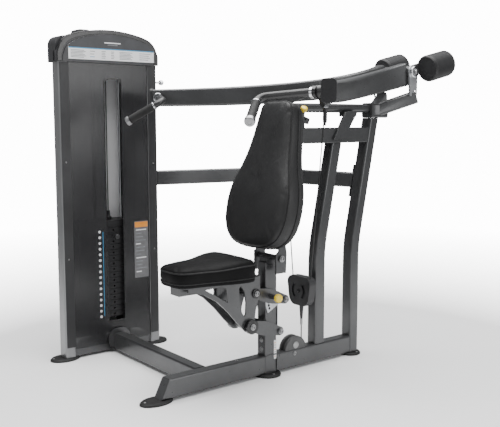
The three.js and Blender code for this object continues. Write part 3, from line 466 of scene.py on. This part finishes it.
def smooth_loop(half, count):
    """Smooth closed outline through the points of one half, mirrored about x = 0, evenly spaced."""
    pts = half + [(-x, y) for x, y in reversed(half[1:-1])]
    n = len(pts)
    dense = []
    for i in range(n):
        p = [Vector(pts[(i + k - 1) % n]) for k in range(4)]
        t = [0.0]
        for a, b in zip(p, p[1:]):
            t.append(t[-1] + max(1e-6, (b - a).length ** 0.5))
        for k in range(24):
            u = t[1] + (t[2] - t[1]) * k / 24
            a1 = p[0] * ((t[1] - u) / (t[1] - t[0])) + p[1] * ((u - t[0]) / (t[1] - t[0]))
            a2 = p[1] * ((t[2] - u) / (t[2] - t[1])) + p[2] * ((u - t[1]) / (t[2] - t[1]))
            a3 = p[2] * ((t[3] - u) / (t[3] - t[2])) + p[3] * ((u - t[2]) / (t[3] - t[2]))
            b1 = a1 * ((t[2] - u) / (t[2] - t[0])) + a2 * ((u - t[0]) / (t[2] - t[0]))
            b2 = a2 * ((t[3] - u) / (t[3] - t[1])) + a3 * ((u - t[1]) / (t[3] - t[1]))
            dense.append(b1 * ((t[2] - u) / (t[2] - t[1])) + b2 * ((u - t[1]) / (t[2] - t[1])))
    flat = resample([Vector((q.x, q.y, 0)) for q in dense], sum(
        (dense[i] - dense[i - 1]).length for i in range(len(dense))) / count, closed=True)
    return [(q.x, q.y) for q in flat[:count]]


def ease(v, a, b):
    t = max(0.0, min(1.0, (v - a) / (b - a)))
    return t * t * (3 - 2 * t)


def puff(ob, held, cap, pressure=4.0, steps=18):
    """Lets the cover swell like a stuffed one between its seams, then keeps the swollen shape."""
    rest = [v.co.copy() for v in ob.data.vertices]
    g = ob.vertex_groups.new(name="held")
    for i, w in enumerate(held):
        if w > 0:
            g.add([i], w, "REPLACE")
    c = ob.modifiers.new("cover", "CLOTH")
    s = c.settings
    s.quality = 6
    s.mass = 0.4
    s.tension_stiffness = s.compression_stiffness = 22
    s.shear_stiffness = 10
    s.bending_stiffness = 2.0
    s.use_pressure = True
    s.uniform_pressure_force = pressure
    s.effector_weights.gravity = 0.0
    s.vertex_group_mass = "held"
    c.collision_settings.use_collision = False
    c.point_cache.frame_start, c.point_cache.frame_end = 1, steps
    for f in range(1, steps + 1):
        scene.frame_set(f)
    dg = bpy.context.evaluated_depsgraph_get()
    now = [v.co.copy() for v in ob.evaluated_get(dg).data.vertices]
    ob.modifiers.remove(c)
    ob.vertex_groups.remove(g)
    scene.frame_set(1)
    for v, a, b in zip(ob.data.vertices, rest, now):
        d = b - a
        if d.length == d.length and d.length > 0:
            v.co = a + d * (min(d.length, cap) / d.length)
        else:
            v.co = a
    ob.data.update()


def upholstery(name, node, half, thick, edge, crown, place, swell, body, low_seam, count=150,
               skin="vinyl"):
    """Upholstered pad: welted top seam, a side band with a lower seam, a crowned, slightly puckered face."""
    loop = smooth_loop(half, count)
    n = len(loop)
    nor = []
    for i in range(n):
        a, b = Vector(loop[i - 1]), Vector(loop[(i + 1) % n])
        d = (b - a).normalized()
        nor.append((d.y, -d.x))
    cx = sum(p[0] for p in loop) / n
    cy = sum(p[1] for p in loop) / n
    top_z = thick - edge
    # rings of the side, from below: inset, height, how firmly the ring is held
    rings = [(0.010, 0.0, 1.0), (0.003, 0.0, 1.0), (0.0005, 0.003, 1.0), (0.0, 0.007, 1.0)]
    rings += [(0.0, low_seam - 0.004, 0.6), (0.0016, low_seam, 1.0), (0.0, low_seam + 0.004, 0.6)]
    for k in range(1, 8):
        u = k / 8
        rings.append((-0.0022 * math.sin(math.pi * u), low_seam + 0.004 + (top_z - 0.006 - low_seam) * u, 0.0))
    rings += [(0.0, top_z - 0.002, 0.7), (0.0022, top_z + 0.0005, 1.0), (0.0012, top_z + 0.003, 0.7)]
    for k in range(1, 6):
        a = math.pi / 2 * (0.12 + 0.88 * k / 5)
        rings.append((edge * (1 - math.cos(a)), top_z + edge * math.sin(a), 0.0))
    bm = bmesh.new()
    rows, held = [], []
    for inset, h, w in rings:
        row = []
        for i, (x, y) in enumerate(loop):
            pk = 0.0
            if abs(h - top_z) < 0.014 or abs(h - low_seam) < 0.012:
                pk = 0.0007 * noise.noise(Vector((x * 95, y * 95, h * 60)))
            px, py = x - nor[i][0] * (inset + pk), y - nor[i][1] * (inset + pk)
            row.append(bm.verts.new((px, py, h * swell(py))))
            held.append(w)
        rows.append(row)
    rim = [(v.co.x, v.co.y) for v in rows[-1]]
    for s in (0.93, 0.84, 0.73, 0.6, 0.46, 0.32, 0.18, 0.07):
        row = []
        for i, (x, y) in enumerate(rim):
            px, py = cx + (x - cx) * s, cy + (y - cy) * s
            h = thick + crown * (1 - s ** 2.2) + 0.0012 * noise.noise(Vector((px * 11, py * 11, 3.1)))
            row.append(bm.verts.new((px, py, h * swell(py))))
            held.append(0.0 if s > 0.1 else 0.3)
        rows.append(row)
    for p, q in zip(rows, rows[1:]):
        for k in range(n):
            bm.faces.new((p[k], p[(k + 1) % n], q[(k + 1) % n], q[k]))
    tip = bm.verts.new((cx, cy, (thick + crown) * swell(cy)))
    held.append(0.3)
    for k in range(n):
        bm.faces.new((rows[-1][k], rows[-1][(k + 1) % n], tip))
    bm.faces.new(list(reversed(rows[0])))
    bmesh.ops.recalc_face_normals(bm, faces=bm.faces)
    bm.transform(place)
    ob = object_of(name, bm, skin, body, 75, weighted=False)
    puff(ob, held, 0.004)
    sub = ob.modifiers.new("round", "SUBSURF")
    sub.levels = sub.render_levels = 1
    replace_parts(ob, node)
    for tag, h, inset, r in (("welt_top", top_z + 0.0010, 0.0004, 0.0034),
                             ("welt_low", low_seam, 0.0002, 0.0026)):
        pts = []
        for i, (x, y) in enumerate(loop):
            px, py = x - nor[i][0] * inset, y - nor[i][1] * inset
            pts.append(place @ Vector((px, py, h * swell(py))))
        object_of(f"{name}_{tag}", sweep_tube(resample(pts, 0.006, True), r, True, 8), "piping", body,
                  60, weighted=False)
    return ob


# ------------------------------------------------------------------ painted frame
SOFT_EDGE = {"press_arm_left": 0.002, "press_arm_right": 0.002, "yoke": 0.002, "back_bracket": 0.001,
             "seat_carrier": 0.001, "link_bracket": 0.0008, "strut_guide": 0.001, "panel": 0,
             "tower_cap": 0.005, "arm_end_cap_left": 0.004, "arm_end_cap_right": 0.004,
             "pulley_block": 0.003, "shroud": 0.0006,
             "stack_resting": 0.0006, "stack_lifted": 0.0006, "guide_rod_front": 0.0006,
             "guide_rod_rear": 0.0006, "strap_cable": 0, "counterweight_left": 0.002,
             "counterweight_right": 0.002, "back_shell": 0.003}
FINISH = {"tower_cap": "cap", "shroud": "shroud", "back_shell": "shell", "counterweight_left": "weight",
          "counterweight_right": "weight", "low_pulley": "pulley", "handle_left": "dark_paint",
          "handle_right": "dark_paint", "tower_column_front": "column", "tower_column_rear": "column"}
HAND_MADE = {"seat_cushion", "back_cushion", "grip_left", "grip_right", "seat_pin", "back_pin", "placard",
             "stack_cable", "lift_cable"}
for node in sorted(frame["nodes"]):
    if node not in HAND_MADE:
        dress(node, FINISH.get(node), SOFT_EDGE.get(node, 0.0012))

# ------------------------------------------------------------------ upholstery
seat_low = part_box("seat_cushion")[0]
SEAT_HALF = [(0, -.548), (.046, -.546), (.084, -.528), (.101, -.488), (.109, -.435), (.124, -.378),
             (.141, -.322), (.153, -.268), (.157, -.222), (.146, -.190), (.100, -.177), (0, -.174)]
upholstery("seat_pad", "seat_cushion", SEAT_HALF, 0.080, 0.018, 0.012, Matrix.Translation((0, 0, seat_low.z)),
           lambda y: 1 + 0.2 * ease(y, -.400, -.215), "seat", 0.016, skin="seat_vinyl_painted_shade")

LEAN = math.radians(12.34)
UP, OUT = Vector((0, math.sin(LEAN), math.cos(LEAN))), Vector((0, -math.cos(LEAN), math.sin(LEAN)))
PAD_TURN = Matrix(((1, UP.x, OUT.x), (0, UP.y, OUT.y), (0, UP.z, OUT.z))).to_4x4()
PAD = Matrix.Translation((0, -0.027, 0.583)) @ PAD_TURN
PAD_HALF = [(0, .024), (.080, .029), (.138, .046), (.182, .080), (.207, .130), (.216, .190), (.214, .248),
            (.203, .304), (.185, .354), (.167, .402), (.149, .462), (.134, .535), (.121, .600), (.110, .650),
            (.096, .688), (.062, .703), (0, .704)]
upholstery("back_pad", "back_cushion", PAD_HALF, 0.078, 0.016, 0.014, PAD,
           lambda v: 1 + 0.34 * (1 - ease(v, .230, .560)), "back_pad", 0.018, count=190)


# ------------------------------------------------------------------ grips, knobs, bolts
# profiles of the turned pieces: (radius, distance along the axis)
GRIP_CAP = [(0, 0), (0.0215, 0), (0.022, 0.0015), (0.022, 0.012), (0.0205, 0.0165), (0.017, 0.0182),
            (0.010, 0.0186), (0.009, 0.0172), (0, 0.0172)]
GRIP_RING = [(0, 0), (0.0192, 0), (0.0198, 0.001), (0.0198, 0.005), (0.0192, 0.006), (0, 0.006)]
HANDLE_COLLAR = [(0, 0), (0.0205, 0), (0.0222, 0.0015), (0.0222, 0.0115), (0.0205, 0.013), (0, 0.013)]
HANDLE_SEAL = [(0, 0), (0.0225, 0), (0.0232, 0.001), (0.0232, 0.011), (0.0225, 0.012), (0, 0.012)]
STRAP_EYE = [(0, 0), (0.0095, 0), (0.0105, 0.002), (0.0105, 0.070), (0.0095, 0.078), (0.0055, 0.082),
             (0.0055, 0.094), (0, 0.094)]
STRAP_NUT = [(0, 0), (0.0135, 0), (0.0145, 0.001), (0.0145, 0.010), (0.0135, 0.011), (0, 0.011)]
WEIGHT_BOSS = [(0, 0), (0.020, 0), (0.022, 0.0015), (0.020, 0.004), (0.012, 0.0045), (0, 0.0045)]
SWAGE = [(0, 0), (0.0058, 0), (0.0062, 0.002), (0.0062, 0.026), (0.004, 0.034), (0, 0.034)]
PULLEY_HUB = [(0, 0), (0.016, 0), (0.017, 0.0012), (0.010, 0.003), (0, 0.003)]
GRIP_START, GRIP_END = (0.350, -0.339, 1.288), (0.459, -0.467, 1.192)      # handle bar under the left grip
for side, s in (("left", 1), ("right", -1)):
    start = Vector((s * GRIP_START[0], *GRIP_START[1:]))
    end = Vector((s * GRIP_END[0], *GRIP_END[1:]))
    d = (end - start).normalized()
    o = start + d * 0.0523
    prof = [(0, 0), (0.0165, 0), (0.0185, 0.0025)]
    z = 0.004
    while z < 0.124:
        prof += [(0.0190, z), (0.0190, z + 0.0022), (0.0183, z + 0.0030), (0.0183, z + 0.0042)]
        z += 0.005
    prof += [(0.0190, 0.1265), (0.0190, 0.128), (0.0, 0.128)]
    g = turned(f"grip_sleeve_{side}", prof, o, d, "rubber", f"arm_{side}", 28, angle=50)
    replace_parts(g, f"grip_{side}")
    turned(f"grip_cap_{side}", GRIP_CAP, o + d * 0.1284, d, "brushed", f"arm_{side}", 36, angle=40)
    turned(f"grip_ring_{side}", GRIP_RING, o - d * 0.0065, d, "chrome", f"arm_{side}", 36)
    far = [p for p in corners(f"handle_{side}") if abs(p.x) > 0.575]
    foot = sum(far, Vector()) / len(far)
    run = (start - foot).normalized()
    turned(f"handle_collar_{side}", HANDLE_COLLAR, foot + run * 0.030, run, "chrome", f"arm_{side}",
           36)
    turned(f"handle_seal_{side}", HANDLE_SEAL, foot + run * 0.0165, run, "bead", f"arm_{side}",
           36)


def knob(name, node, start, direction, stem_r, stem_len, body, knob_r, knob_len):
    """Pop-pin: a chrome stem from start along direction, with a fluted knob at its end."""
    stem = [(0, 0), (stem_r * 0.8, 0), (stem_r, 0.002), (stem_r, stem_len), (0, stem_len)]
    st = turned(f"{name}_stem", stem, start, direction, "chrome", body, 24)
    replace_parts(st, node)
    prof = [(0, 0), (knob_r * 0.55, 0), (knob_r * 0.62, knob_len * 0.10), (knob_r * 0.95, knob_len * 0.24),
            (knob_r, knob_len * 0.36), (knob_r, knob_len * 0.72), (knob_r * 0.94, knob_len * 0.88),
            (knob_r * 0.78, knob_len * 0.97), (knob_r * 0.4, knob_len), (0, knob_len)]
    origin = Vector(start) + Vector(direction).normalized() * stem_len
    bm = lathe(prof, origin, direction, 48, flutes=(3, 4, 5, 6))
    object_of(f"{name}_cap", bm, "yellow", body, 50, weighted=False)


lo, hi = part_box("seat_pin")
knob("seat_knob", "seat_pin", (lo.x, (lo.y + hi.y) / 2, (lo.z + hi.z) / 2), (1, 0, 0), 0.006,
     hi.x - lo.x - 0.028, "seat_pop_pin", 0.020, 0.028)
knob("back_knob", "back_pin", (0.01748, 0.19004, 1.2088), (0.579421, -0.159840, 0.799201), 0.005,
     0.036, "back_pop_pin", 0.017, 0.026)

# places in y and z: the arms' axle, the links' ends on the seat and on the post, and the pad's hinge
PIVOT = (0.862, 1.442)
LINK_PIVOT_UP, LINK_PIVOT_LOW = (-0.113, 0.416), (-0.145, 0.268)
POST_PIVOT_UP, POST_PIVOT_LOW = (0.075, 0.360), (0.043, 0.212)
PAD_HINGE = (0.015, 0.565)
BUSH_X = 0.0505
EYE_X, STRAP_Y, EYE_TOP = 0.150, 0.218, 1.2665
LOW_PULLEY = (0.161, 0.1185)
BLOCK_Z, BLOCK_HALF = 0.376, 0.021          # floating pulley: its bolt's height, and half its cover's depth
for side, s in (("left", 1), ("right", -1)):
    bolt(f"axle_bolt_{side}", (s * 0.1376, *PIVOT), (s, 0, 0), 0.011, "frame", "brushed")
    # bushes and bolts of the seat linkage
    for tag, (y, z), r, ln in (("upper", LINK_PIVOT_UP, 0.0215, 0.0125),
                               ("lower", LINK_PIVOT_LOW, 0.0335, 0.0245)):
        prof = [(0, 0.0065), (r, 0.0065), (r + 0.0003, 0.008), (r, ln), (r - 0.003, ln + 0.0012),
                (0, ln + 0.0012)]
        turned(f"bush_{tag}_{side}", prof, (s * BUSH_X, y, z), (s, 0, 0), "bead", "seat", 36)
    bolt(f"bush_bolt_upper_{side}", (s * 0.0658, *LINK_PIVOT_UP), (s, 0, 0), 0.009, "seat", "brushed")
    bolt(f"bush_bolt_lower_{side}", (s * 0.0778, *LINK_PIVOT_LOW), (s, 0, 0), 0.010, "seat", "brushed")
    bolt(f"link_bolt_upper_{side}", (s * 0.054, *POST_PIVOT_UP), (s, 0, 0), 0.0095, "frame", "brushed")
    bolt(f"link_bolt_lower_{side}", (s * 0.054, *POST_PIVOT_LOW), (s, 0, 0), 0.0095, "frame", "brushed")
    bolt(f"hinge_bolt_{side}", (s * 0.0898, *PAD_HINGE), (s, 0, 0), 0.0105, "frame", "brushed")
    # lever ends carry the strap
    turned(f"strap_eye_{side}", STRAP_EYE, (s * EYE_X, STRAP_Y, EYE_TOP), (0, 0, -1), "bead", f"arm_{side}",
           28)
    turned(f"strap_nut_{side}", STRAP_NUT, (s * EYE_X, STRAP_Y, EYE_TOP - 0.001), (0, 0, -1), "chrome",
           f"arm_{side}", 24, hexes=(1, 2, 3, 4))
    a, d, ln = axis_of(f"counterweight_{side}", (0, 1, 0.234))
    turned(f"weight_boss_{side}", WEIGHT_BOSS, a + d * (ln - 0.0002), d, "brushed", f"arm_{side}", 32)

bolt("pulley_bolt", (0, STRAP_Y - BLOCK_HALF, BLOCK_Z), (0, -1, 0), 0.007, "floating_pulley", "bead")
bolt("pulley_bolt_rear", (0, STRAP_Y + BLOCK_HALF, BLOCK_Z), (0, 1, 0), 0.007, "floating_pulley", "bead")
turned("swage", SWAGE, (0, STRAP_Y, 0.2362), (0, 0, -1), "brushed", "floating_pulley", 20)
for side, s in (("left", 1), ("right", -1)):
    turned(f"pulley_hub_{side}", PULLEY_HUB, (s * 0.0251, *LOW_PULLEY), (s, 0, 0), "brushed", "frame",
           28)


def taut_cable(node, start, end, r):
    """Straight cable from start to end, standing for the CAD node; it rides no body."""
    pts = [Vector(start).lerp(Vector(end), k / 60) for k in range(61)]
    ob = object_of("v_" + node, sweep_tube(pts, r, False, 12), "cable", None, 60,
                   weighted=False)
    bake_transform(ob)
    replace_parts(ob, node)


for node, body, upward in (("stack_cable", "stack", True), ("lift_cable", "floating_pulley", False)):
    lo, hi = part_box(node)
    x, y = (lo.x + hi.x) / 2, (lo.y + hi.y) / 2
    near, far = (lo.z, hi.z) if upward else (hi.z, lo.z)
    taut_cable(node, (x, y, near), (x, y, far), (hi.x - lo.x) / 2)

# bolts on the frame
SIDE_X, POST_FRONT, TRIM_X = 0.0302, -0.0352, -0.7705
BEAM_BOLTS = [((SIDE_X, 0.150, 0.080), (1, 0, 0), 0.007), ((-SIDE_X, 0.150, 0.080), (-1, 0, 0), 0.007)]
POST_BOLTS = [((0.004, POST_FRONT, z), (0, -1, 0), 0.008) for z in (0.173, 0.130)]
TOP_BOLT = [((0, -0.181, 0.1002), (0, 0, 1), 0.006)]
TRIM_BOLTS = [((TRIM_X, y, z), (1, 0, 0), 0.0045)
              for y, z in ((-0.634, 0.993), (-0.634, 0.513), (-0.142, 0.973), (-0.142, 0.519))]
for i, (p, d, r) in enumerate(BEAM_BOLTS + POST_BOLTS + TOP_BOLT + TRIM_BOLTS):
    bolt(f"frame_bolt_{i}", p, d, r, "frame", "brushed", washer=r > 0.005)
REAR_SLOPE = 0.198                          # how far the rear upright leans back for each metre of height
for i, z in enumerate((0.935, 0.799)):
    y = 0.554 + REAR_SLOPE * (z - 0.570) + 0.0292
    bolt(f"upright_bolt_{i}", (0.0, y, z), (0, 0.981, -0.194), 0.009, "frame", "brushed")
for i, (x, y) in enumerate([(0, -0.668), (0, -0.556), (0.050, 0.0), (-0.050, 0.0), (0.044, 0.562),
                            (-0.044, 0.562), (-0.808, -0.712), (-0.808, -0.072)]):
    bolt(f"foot_bolt_{i}", (x, y, 0.0124), (0, 0, 1), 0.0055, "frame", "brushed", washer=False)


# ------------------------------------------------------------------ weight tower
X_FACE = -0.7768          # just off the panel
SLOT_Y, SLOT_HALF, SLOT_Z0, SLOT_Z1 = -0.3695, 0.047, 0.166, 1.402
slot_loop = resample(rect_loop((X_FACE, SLOT_Y, (SLOT_Z0 + SLOT_Z1) / 2), (0, 1, 0), (0, 0, 1),
                               SLOT_HALF + 0.0012, (SLOT_Z1 - SLOT_Z0) / 2 + 0.0012, 0.012, 6), 0.006, True)
object_of("slot_trim", sweep_tube(slot_loop, 0.0022, True, 8), "bead", "frame", 60,
          weighted=False)

label_x("inner_wall", -0.9076, -0.590, -0.190, 0.090, 1.450, "liner", 0.004, 0.0008)


def number(name, text, x, y, z, size, mat):
    """Plain numeral lying on a +X face."""
    cu = bpy.data.curves.new(name, "FONT")
    cu.body = text
    cu.size = size
    cu.align_x = cu.align_y = "CENTER"
    cu.extrude = 0.0002
    cu.resolution_u = 3
    ob = bpy.data.objects.new(name, cu)
    scene.collection.objects.link(ob)
    me = bpy.data.meshes.new_from_object(ob)
    bpy.data.objects.remove(ob)
    bpy.data.curves.remove(cu)
    me.transform(Matrix.Translation((x, y, z)) @ Matrix(((0, 0, 1), (1, 0, 0), (0, 1, 0))).to_4x4())
    me.materials.clear()
    me.materials.append(M[mat])
    ob = bpy.data.objects.new(name, me)
    scene.collection.objects.link(ob)
    return ob


PLATES, PLATE_TOP, PLATE_PITCH, NUMBER_Y = 16, 0.649, 0.0293, -0.460
DOT = [(0, 0), (0.0068, 0), (0.0068, 0.0004), (0, 0.0004)]
dots = []
for i in range(PLATES):
    z = PLATE_TOP - PLATE_PITCH * i - 0.0146
    dots.append(turned(f"dot_{i}", DOT, (X_FACE, NUMBER_Y, z), (1, 0, 0), "white", "frame",
                       20))
    dots.append(number(f"digit_{i}", str(i + 1), X_FACE + 0.0006, NUMBER_Y, z, 0.0085, "ink"))
join("number_column", dots, "frame")
label_x("stack_line", X_FACE, -0.443, -0.440, 0.196, 0.633, "blue", 0.001)

rows = [label_x("notice", X_FACE, -0.260, -0.176, 0.372, 0.672, "grey", 0.004),
        label_x("notice_head", X_FACE + 0.0006, -0.256, -0.180, 0.640, 0.668, "orange", 0.002)]
for i in range(13):
    z = 0.626 - 0.0185 * i
    width = 0.062 * (0.72 + 0.28 * math.cos(i * 2.3))
    rows.append(label_x(f"notice_row_{i}", X_FACE + 0.0006, -0.250, -0.250 + width, z - 0.0028, z + 0.0028,
                        "white" if i % 4 == 0 else "ink", 0.001, 0.0003))
join("notice_plate", rows, "frame")

# placard: white board with a dark arched field over it and a blue rule
lo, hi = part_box("placard")
mid, half = (lo.y + hi.y) / 2, (hi.y - lo.y) / 2


def arch(y_half, base, drop, top, n=24):
    out = [(mid + y_half, base), (mid - y_half, base)]
    for i in range(n + 1):
        t = -1 + 2 * i / n
        out.append((mid + y_half * t, top - 0.050 * t * t - drop * abs(t) ** 12))
    return out


board = [Vector((lo.x, y, z)) for y, z in arch(half, lo.z, 0.010, hi.z)]
parts = [plate("board_base", board, (1, 0, 0), 0.0018, "white", "frame", 0.0003)]
field = [Vector((lo.x + 0.0018, y, z)) for y, z in arch(half, lo.z + 0.057, 0.010, hi.z)]
parts.append(plate("board_field", field, (1, 0, 0), 0.0004, "board", "frame", 0))
F = lo.x + 0.0018
parts.append(label_x("board_rule", F, mid - half + 0.001, mid + half - 0.001, lo.z + 0.052, lo.z + 0.057,
                     "blue", 0.001, 0.0003))
rnd = 0.0
for c0, c1, n in ((-0.95, -0.60, 6), (-0.52, -0.40, 3), (-0.26, -0.16, 5), (-0.04, 0.04, 5), (0.16, 0.50, 6),
                  (0.64, 0.92, 4)):                   # columns of rules: start, end, how many
    for k in range(n):
        z = lo.z + 0.045 - 0.040 * (k + 0.3) / n
        rnd = (rnd + 0.381966) % 1
        y1 = mid + (c0 + (c1 - c0) * (0.75 + 0.25 * rnd)) * half
        parts.append(label_x(f"board_line_{len(parts)}", F, mid + c0 * half, y1, z - 0.0014, z + 0.0014,
                             "blue" if c0 == -0.52 and k == 2 else "ink", 0.0005, 0.0003))
parts.append(label_x("board_title", F + 0.0004, mid - 0.045, mid + 0.045, lo.z + 0.083, lo.z + 0.088, "white",
                     0.001, 0.0003))
parts.append(label_x("board_title_2", F + 0.0004, mid - 0.028, mid + 0.028, lo.z + 0.074, lo.z + 0.077, "ink",
                     0.001, 0.0003))
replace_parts(join("placard_board", parts, "frame"), "placard")

# black trims on the fronts of the columns
for tag, y0, y1 in (("front", -0.655, -0.608), ("rear", -0.169, -0.122)):
    label_x(f"column_trim_{tag}", -0.7722, y0, y1, 0.064, 1.476, "black", 0.003, 0.0016)

# edge beads of the cap
lo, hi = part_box("tower_cap")
cm, ch = (lo.y + hi.y) / 2, (hi.y - lo.y) / 2


def cap_edge(x, drop, inset):
    out = [(cm + ch - inset, lo.z + 0.004)]
    for i in range(41):
        t = 1 - i / 20
        out.append((cm + (ch - inset) * t, hi.z - drop - 0.054 * t * t - 0.062 * abs(t) ** 14))
    out.append((cm - ch + inset, lo.z + 0.004))
    return [Vector((x, y, z)) for y, z in out]


outer, inner = cap_edge(hi.x, 0.003, 0.003), cap_edge(hi.x, 0.017, 0.019)
bm = bmesh.new()
a_row = [bm.verts.new(p) for p in outer]
b_row = [bm.verts.new(p) for p in inner]
a_top = [bm.verts.new(p + Vector((0.0018, 0, 0))) for p in outer]
b_top = [bm.verts.new(p + Vector((0.0018, 0, 0))) for p in inner]
for i in range(len(outer) - 1):
    for quad in ((a_top[i], a_top[i + 1], b_top[i + 1], b_top[i]),
                 (a_row[i], a_row[i + 1], a_top[i + 1], a_top[i]),
                 (b_row[i], b_top[i], b_top[i + 1], b_row[i + 1]),
                 (a_row[i], b_row[i], b_row[i + 1], a_row[i + 1])):
        bm.faces.new(quad)
bm.faces.new((a_row[0], a_top[0], b_top[0], b_row[0]))
bm.faces.new((a_row[-1], b_row[-1], b_top[-1], a_top[-1]))
bmesh.ops.recalc_face_normals(bm, faces=bm.faces)
object_of("cap_band", bm, "bead", "frame", 40)
for name, edge, radius, seg in (("cap_line", cap_edge(hi.x + 0.0006, 0.0235, 0.0265), 0.0016, 8),
                                ("cap_bead_front", cap_edge(hi.x - 0.0022, 0.0018, 0.0018), 0.0036, 10),
                                ("cap_bead_rear", cap_edge(-0.8098, 0.0018, 0.0018), 0.0032, 10)):
    object_of(name, sweep_tube(resample(edge, 0.008), radius, False, seg), "bead", "frame", 60,
              weighted=False)

# ------------------------------------------------------------------ welds
weld("weld_post_base", rect_loop((0, 0, 0.1005), (1, 0, 0), (0, 1, 0), 0.0315, 0.0335, 0.010), "frame")
weld("weld_post_beam", rect_loop((0, 0.0365, 0.066), (1, 0, 0), (0, 0, 1), 0.0315, 0.0345, 0.010), "frame")
label_x("post_tag", 0.0302, 0.018, 0.0325, 0.078, 0.168, "white", 0.0015)
for i in range(7):
    z = 0.088 + 0.011 * i
    label_x(f"post_tag_row_{i}", 0.0308, 0.0205, 0.0300, z, z + 0.0025, "orange" if i % 3 == 0 else "ink",
            0.0006, 0.0003)

# ------------------------------------------------------------------ studio
FLOOR_R, FLOOR_SIDES, FLOOR_Z = 40.0, 96, -0.0012
FADE_START, FADE_END = 1.6, 5.5           # the floor fades into the white backdrop between these distances
LIGHT_STRENGTH, BACKDROP_STRENGTH = 0.32, 14.0
bm = bmesh.new()
turn = [2 * math.pi * k / FLOOR_SIDES for k in range(FLOOR_SIDES)]
bm.faces.new([bm.verts.new((FLOOR_R * math.cos(a), FLOOR_R * math.sin(a), FLOOR_Z)) for a in turn])
me = bpy.data.meshes.new("floor")
bm.to_mesh(me)
bm.free()
fm, fnt, fb = nodes_of("studio_floor")
fco = fnt.nodes.new("ShaderNodeTexCoord").outputs["Object"]
tone = mix(fnt, tex(fnt, "noise", 0.8, fco), (0.94, 0.94, 0.94), (0.96, 0.96, 0.96))
fnt.links.new(tone, fb.inputs["Base Color"])
away = fnt.nodes.new("ShaderNodeVectorMath")
away.operation = "LENGTH"
fnt.links.new(fco, away.inputs[0])
fnt.links.new(ramp(fnt, away.outputs["Value"], FADE_START, FADE_END, 1.0, 0.0), fb.inputs["Alpha"])
fb.inputs["Roughness"].default_value = 0.7
fb.inputs["Specular IOR Level"].default_value = 0.2
me.materials.append(fm)
floor = bpy.data.objects.new("floor", me)
scene.collection.objects.link(floor)

world = bpy.data.worlds.new("studio")
scene.world = world
world.use_nodes = True
wt = world.node_tree
bg = wt.nodes["Background"]
bg.inputs["Color"].default_value = (0.97, 0.985, 1.0, 1)
bg.inputs["Strength"].default_value = LIGHT_STRENGTH
paper = wt.nodes.new("ShaderNodeBackground")
paper.inputs["Color"].default_value = (1, 1, 1, 1)
paper.inputs["Strength"].default_value = BACKDROP_STRENGTH
both = wt.nodes.new("ShaderNodeMixShader")
wt.links.new(wt.nodes.new("ShaderNodeLightPath").outputs["Is Camera Ray"], both.inputs["Fac"])
wt.links.new(bg.outputs["Background"], both.inputs[1])
wt.links.new(paper.outputs["Background"], both.inputs[2])
wt.links.new(both.outputs["Shader"], wt.nodes["World Output"].inputs["Surface"])


def lamp(name, place, target, size, power, colour=(1, 1, 1)):
    d = bpy.data.lights.new(name, "AREA")
    d.shape = "RECTANGLE"
    d.size, d.size_y = size
    d.energy = power
    d.color = colour
    ob = bpy.data.objects.new(name, d)
    ob.location = place
    ob.rotation_euler = (Vector(target) - Vector(place)).to_track_quat("-Z", "Y").to_euler()
    scene.collection.objects.link(ob)
    return ob


lamp("top", (-0.1, 0.0, 4.4), (-0.1, 0, 0), (4.6, 4.6), 480)
lamp("right", (4.4, 1.6, 2.0), (0, 0.1, 0.9), (2.4, 2.4), 80)
lamp("front", (0.4, -5.0, 2.2), (0, 0, 0.8), (3.0, 2.0), 24)
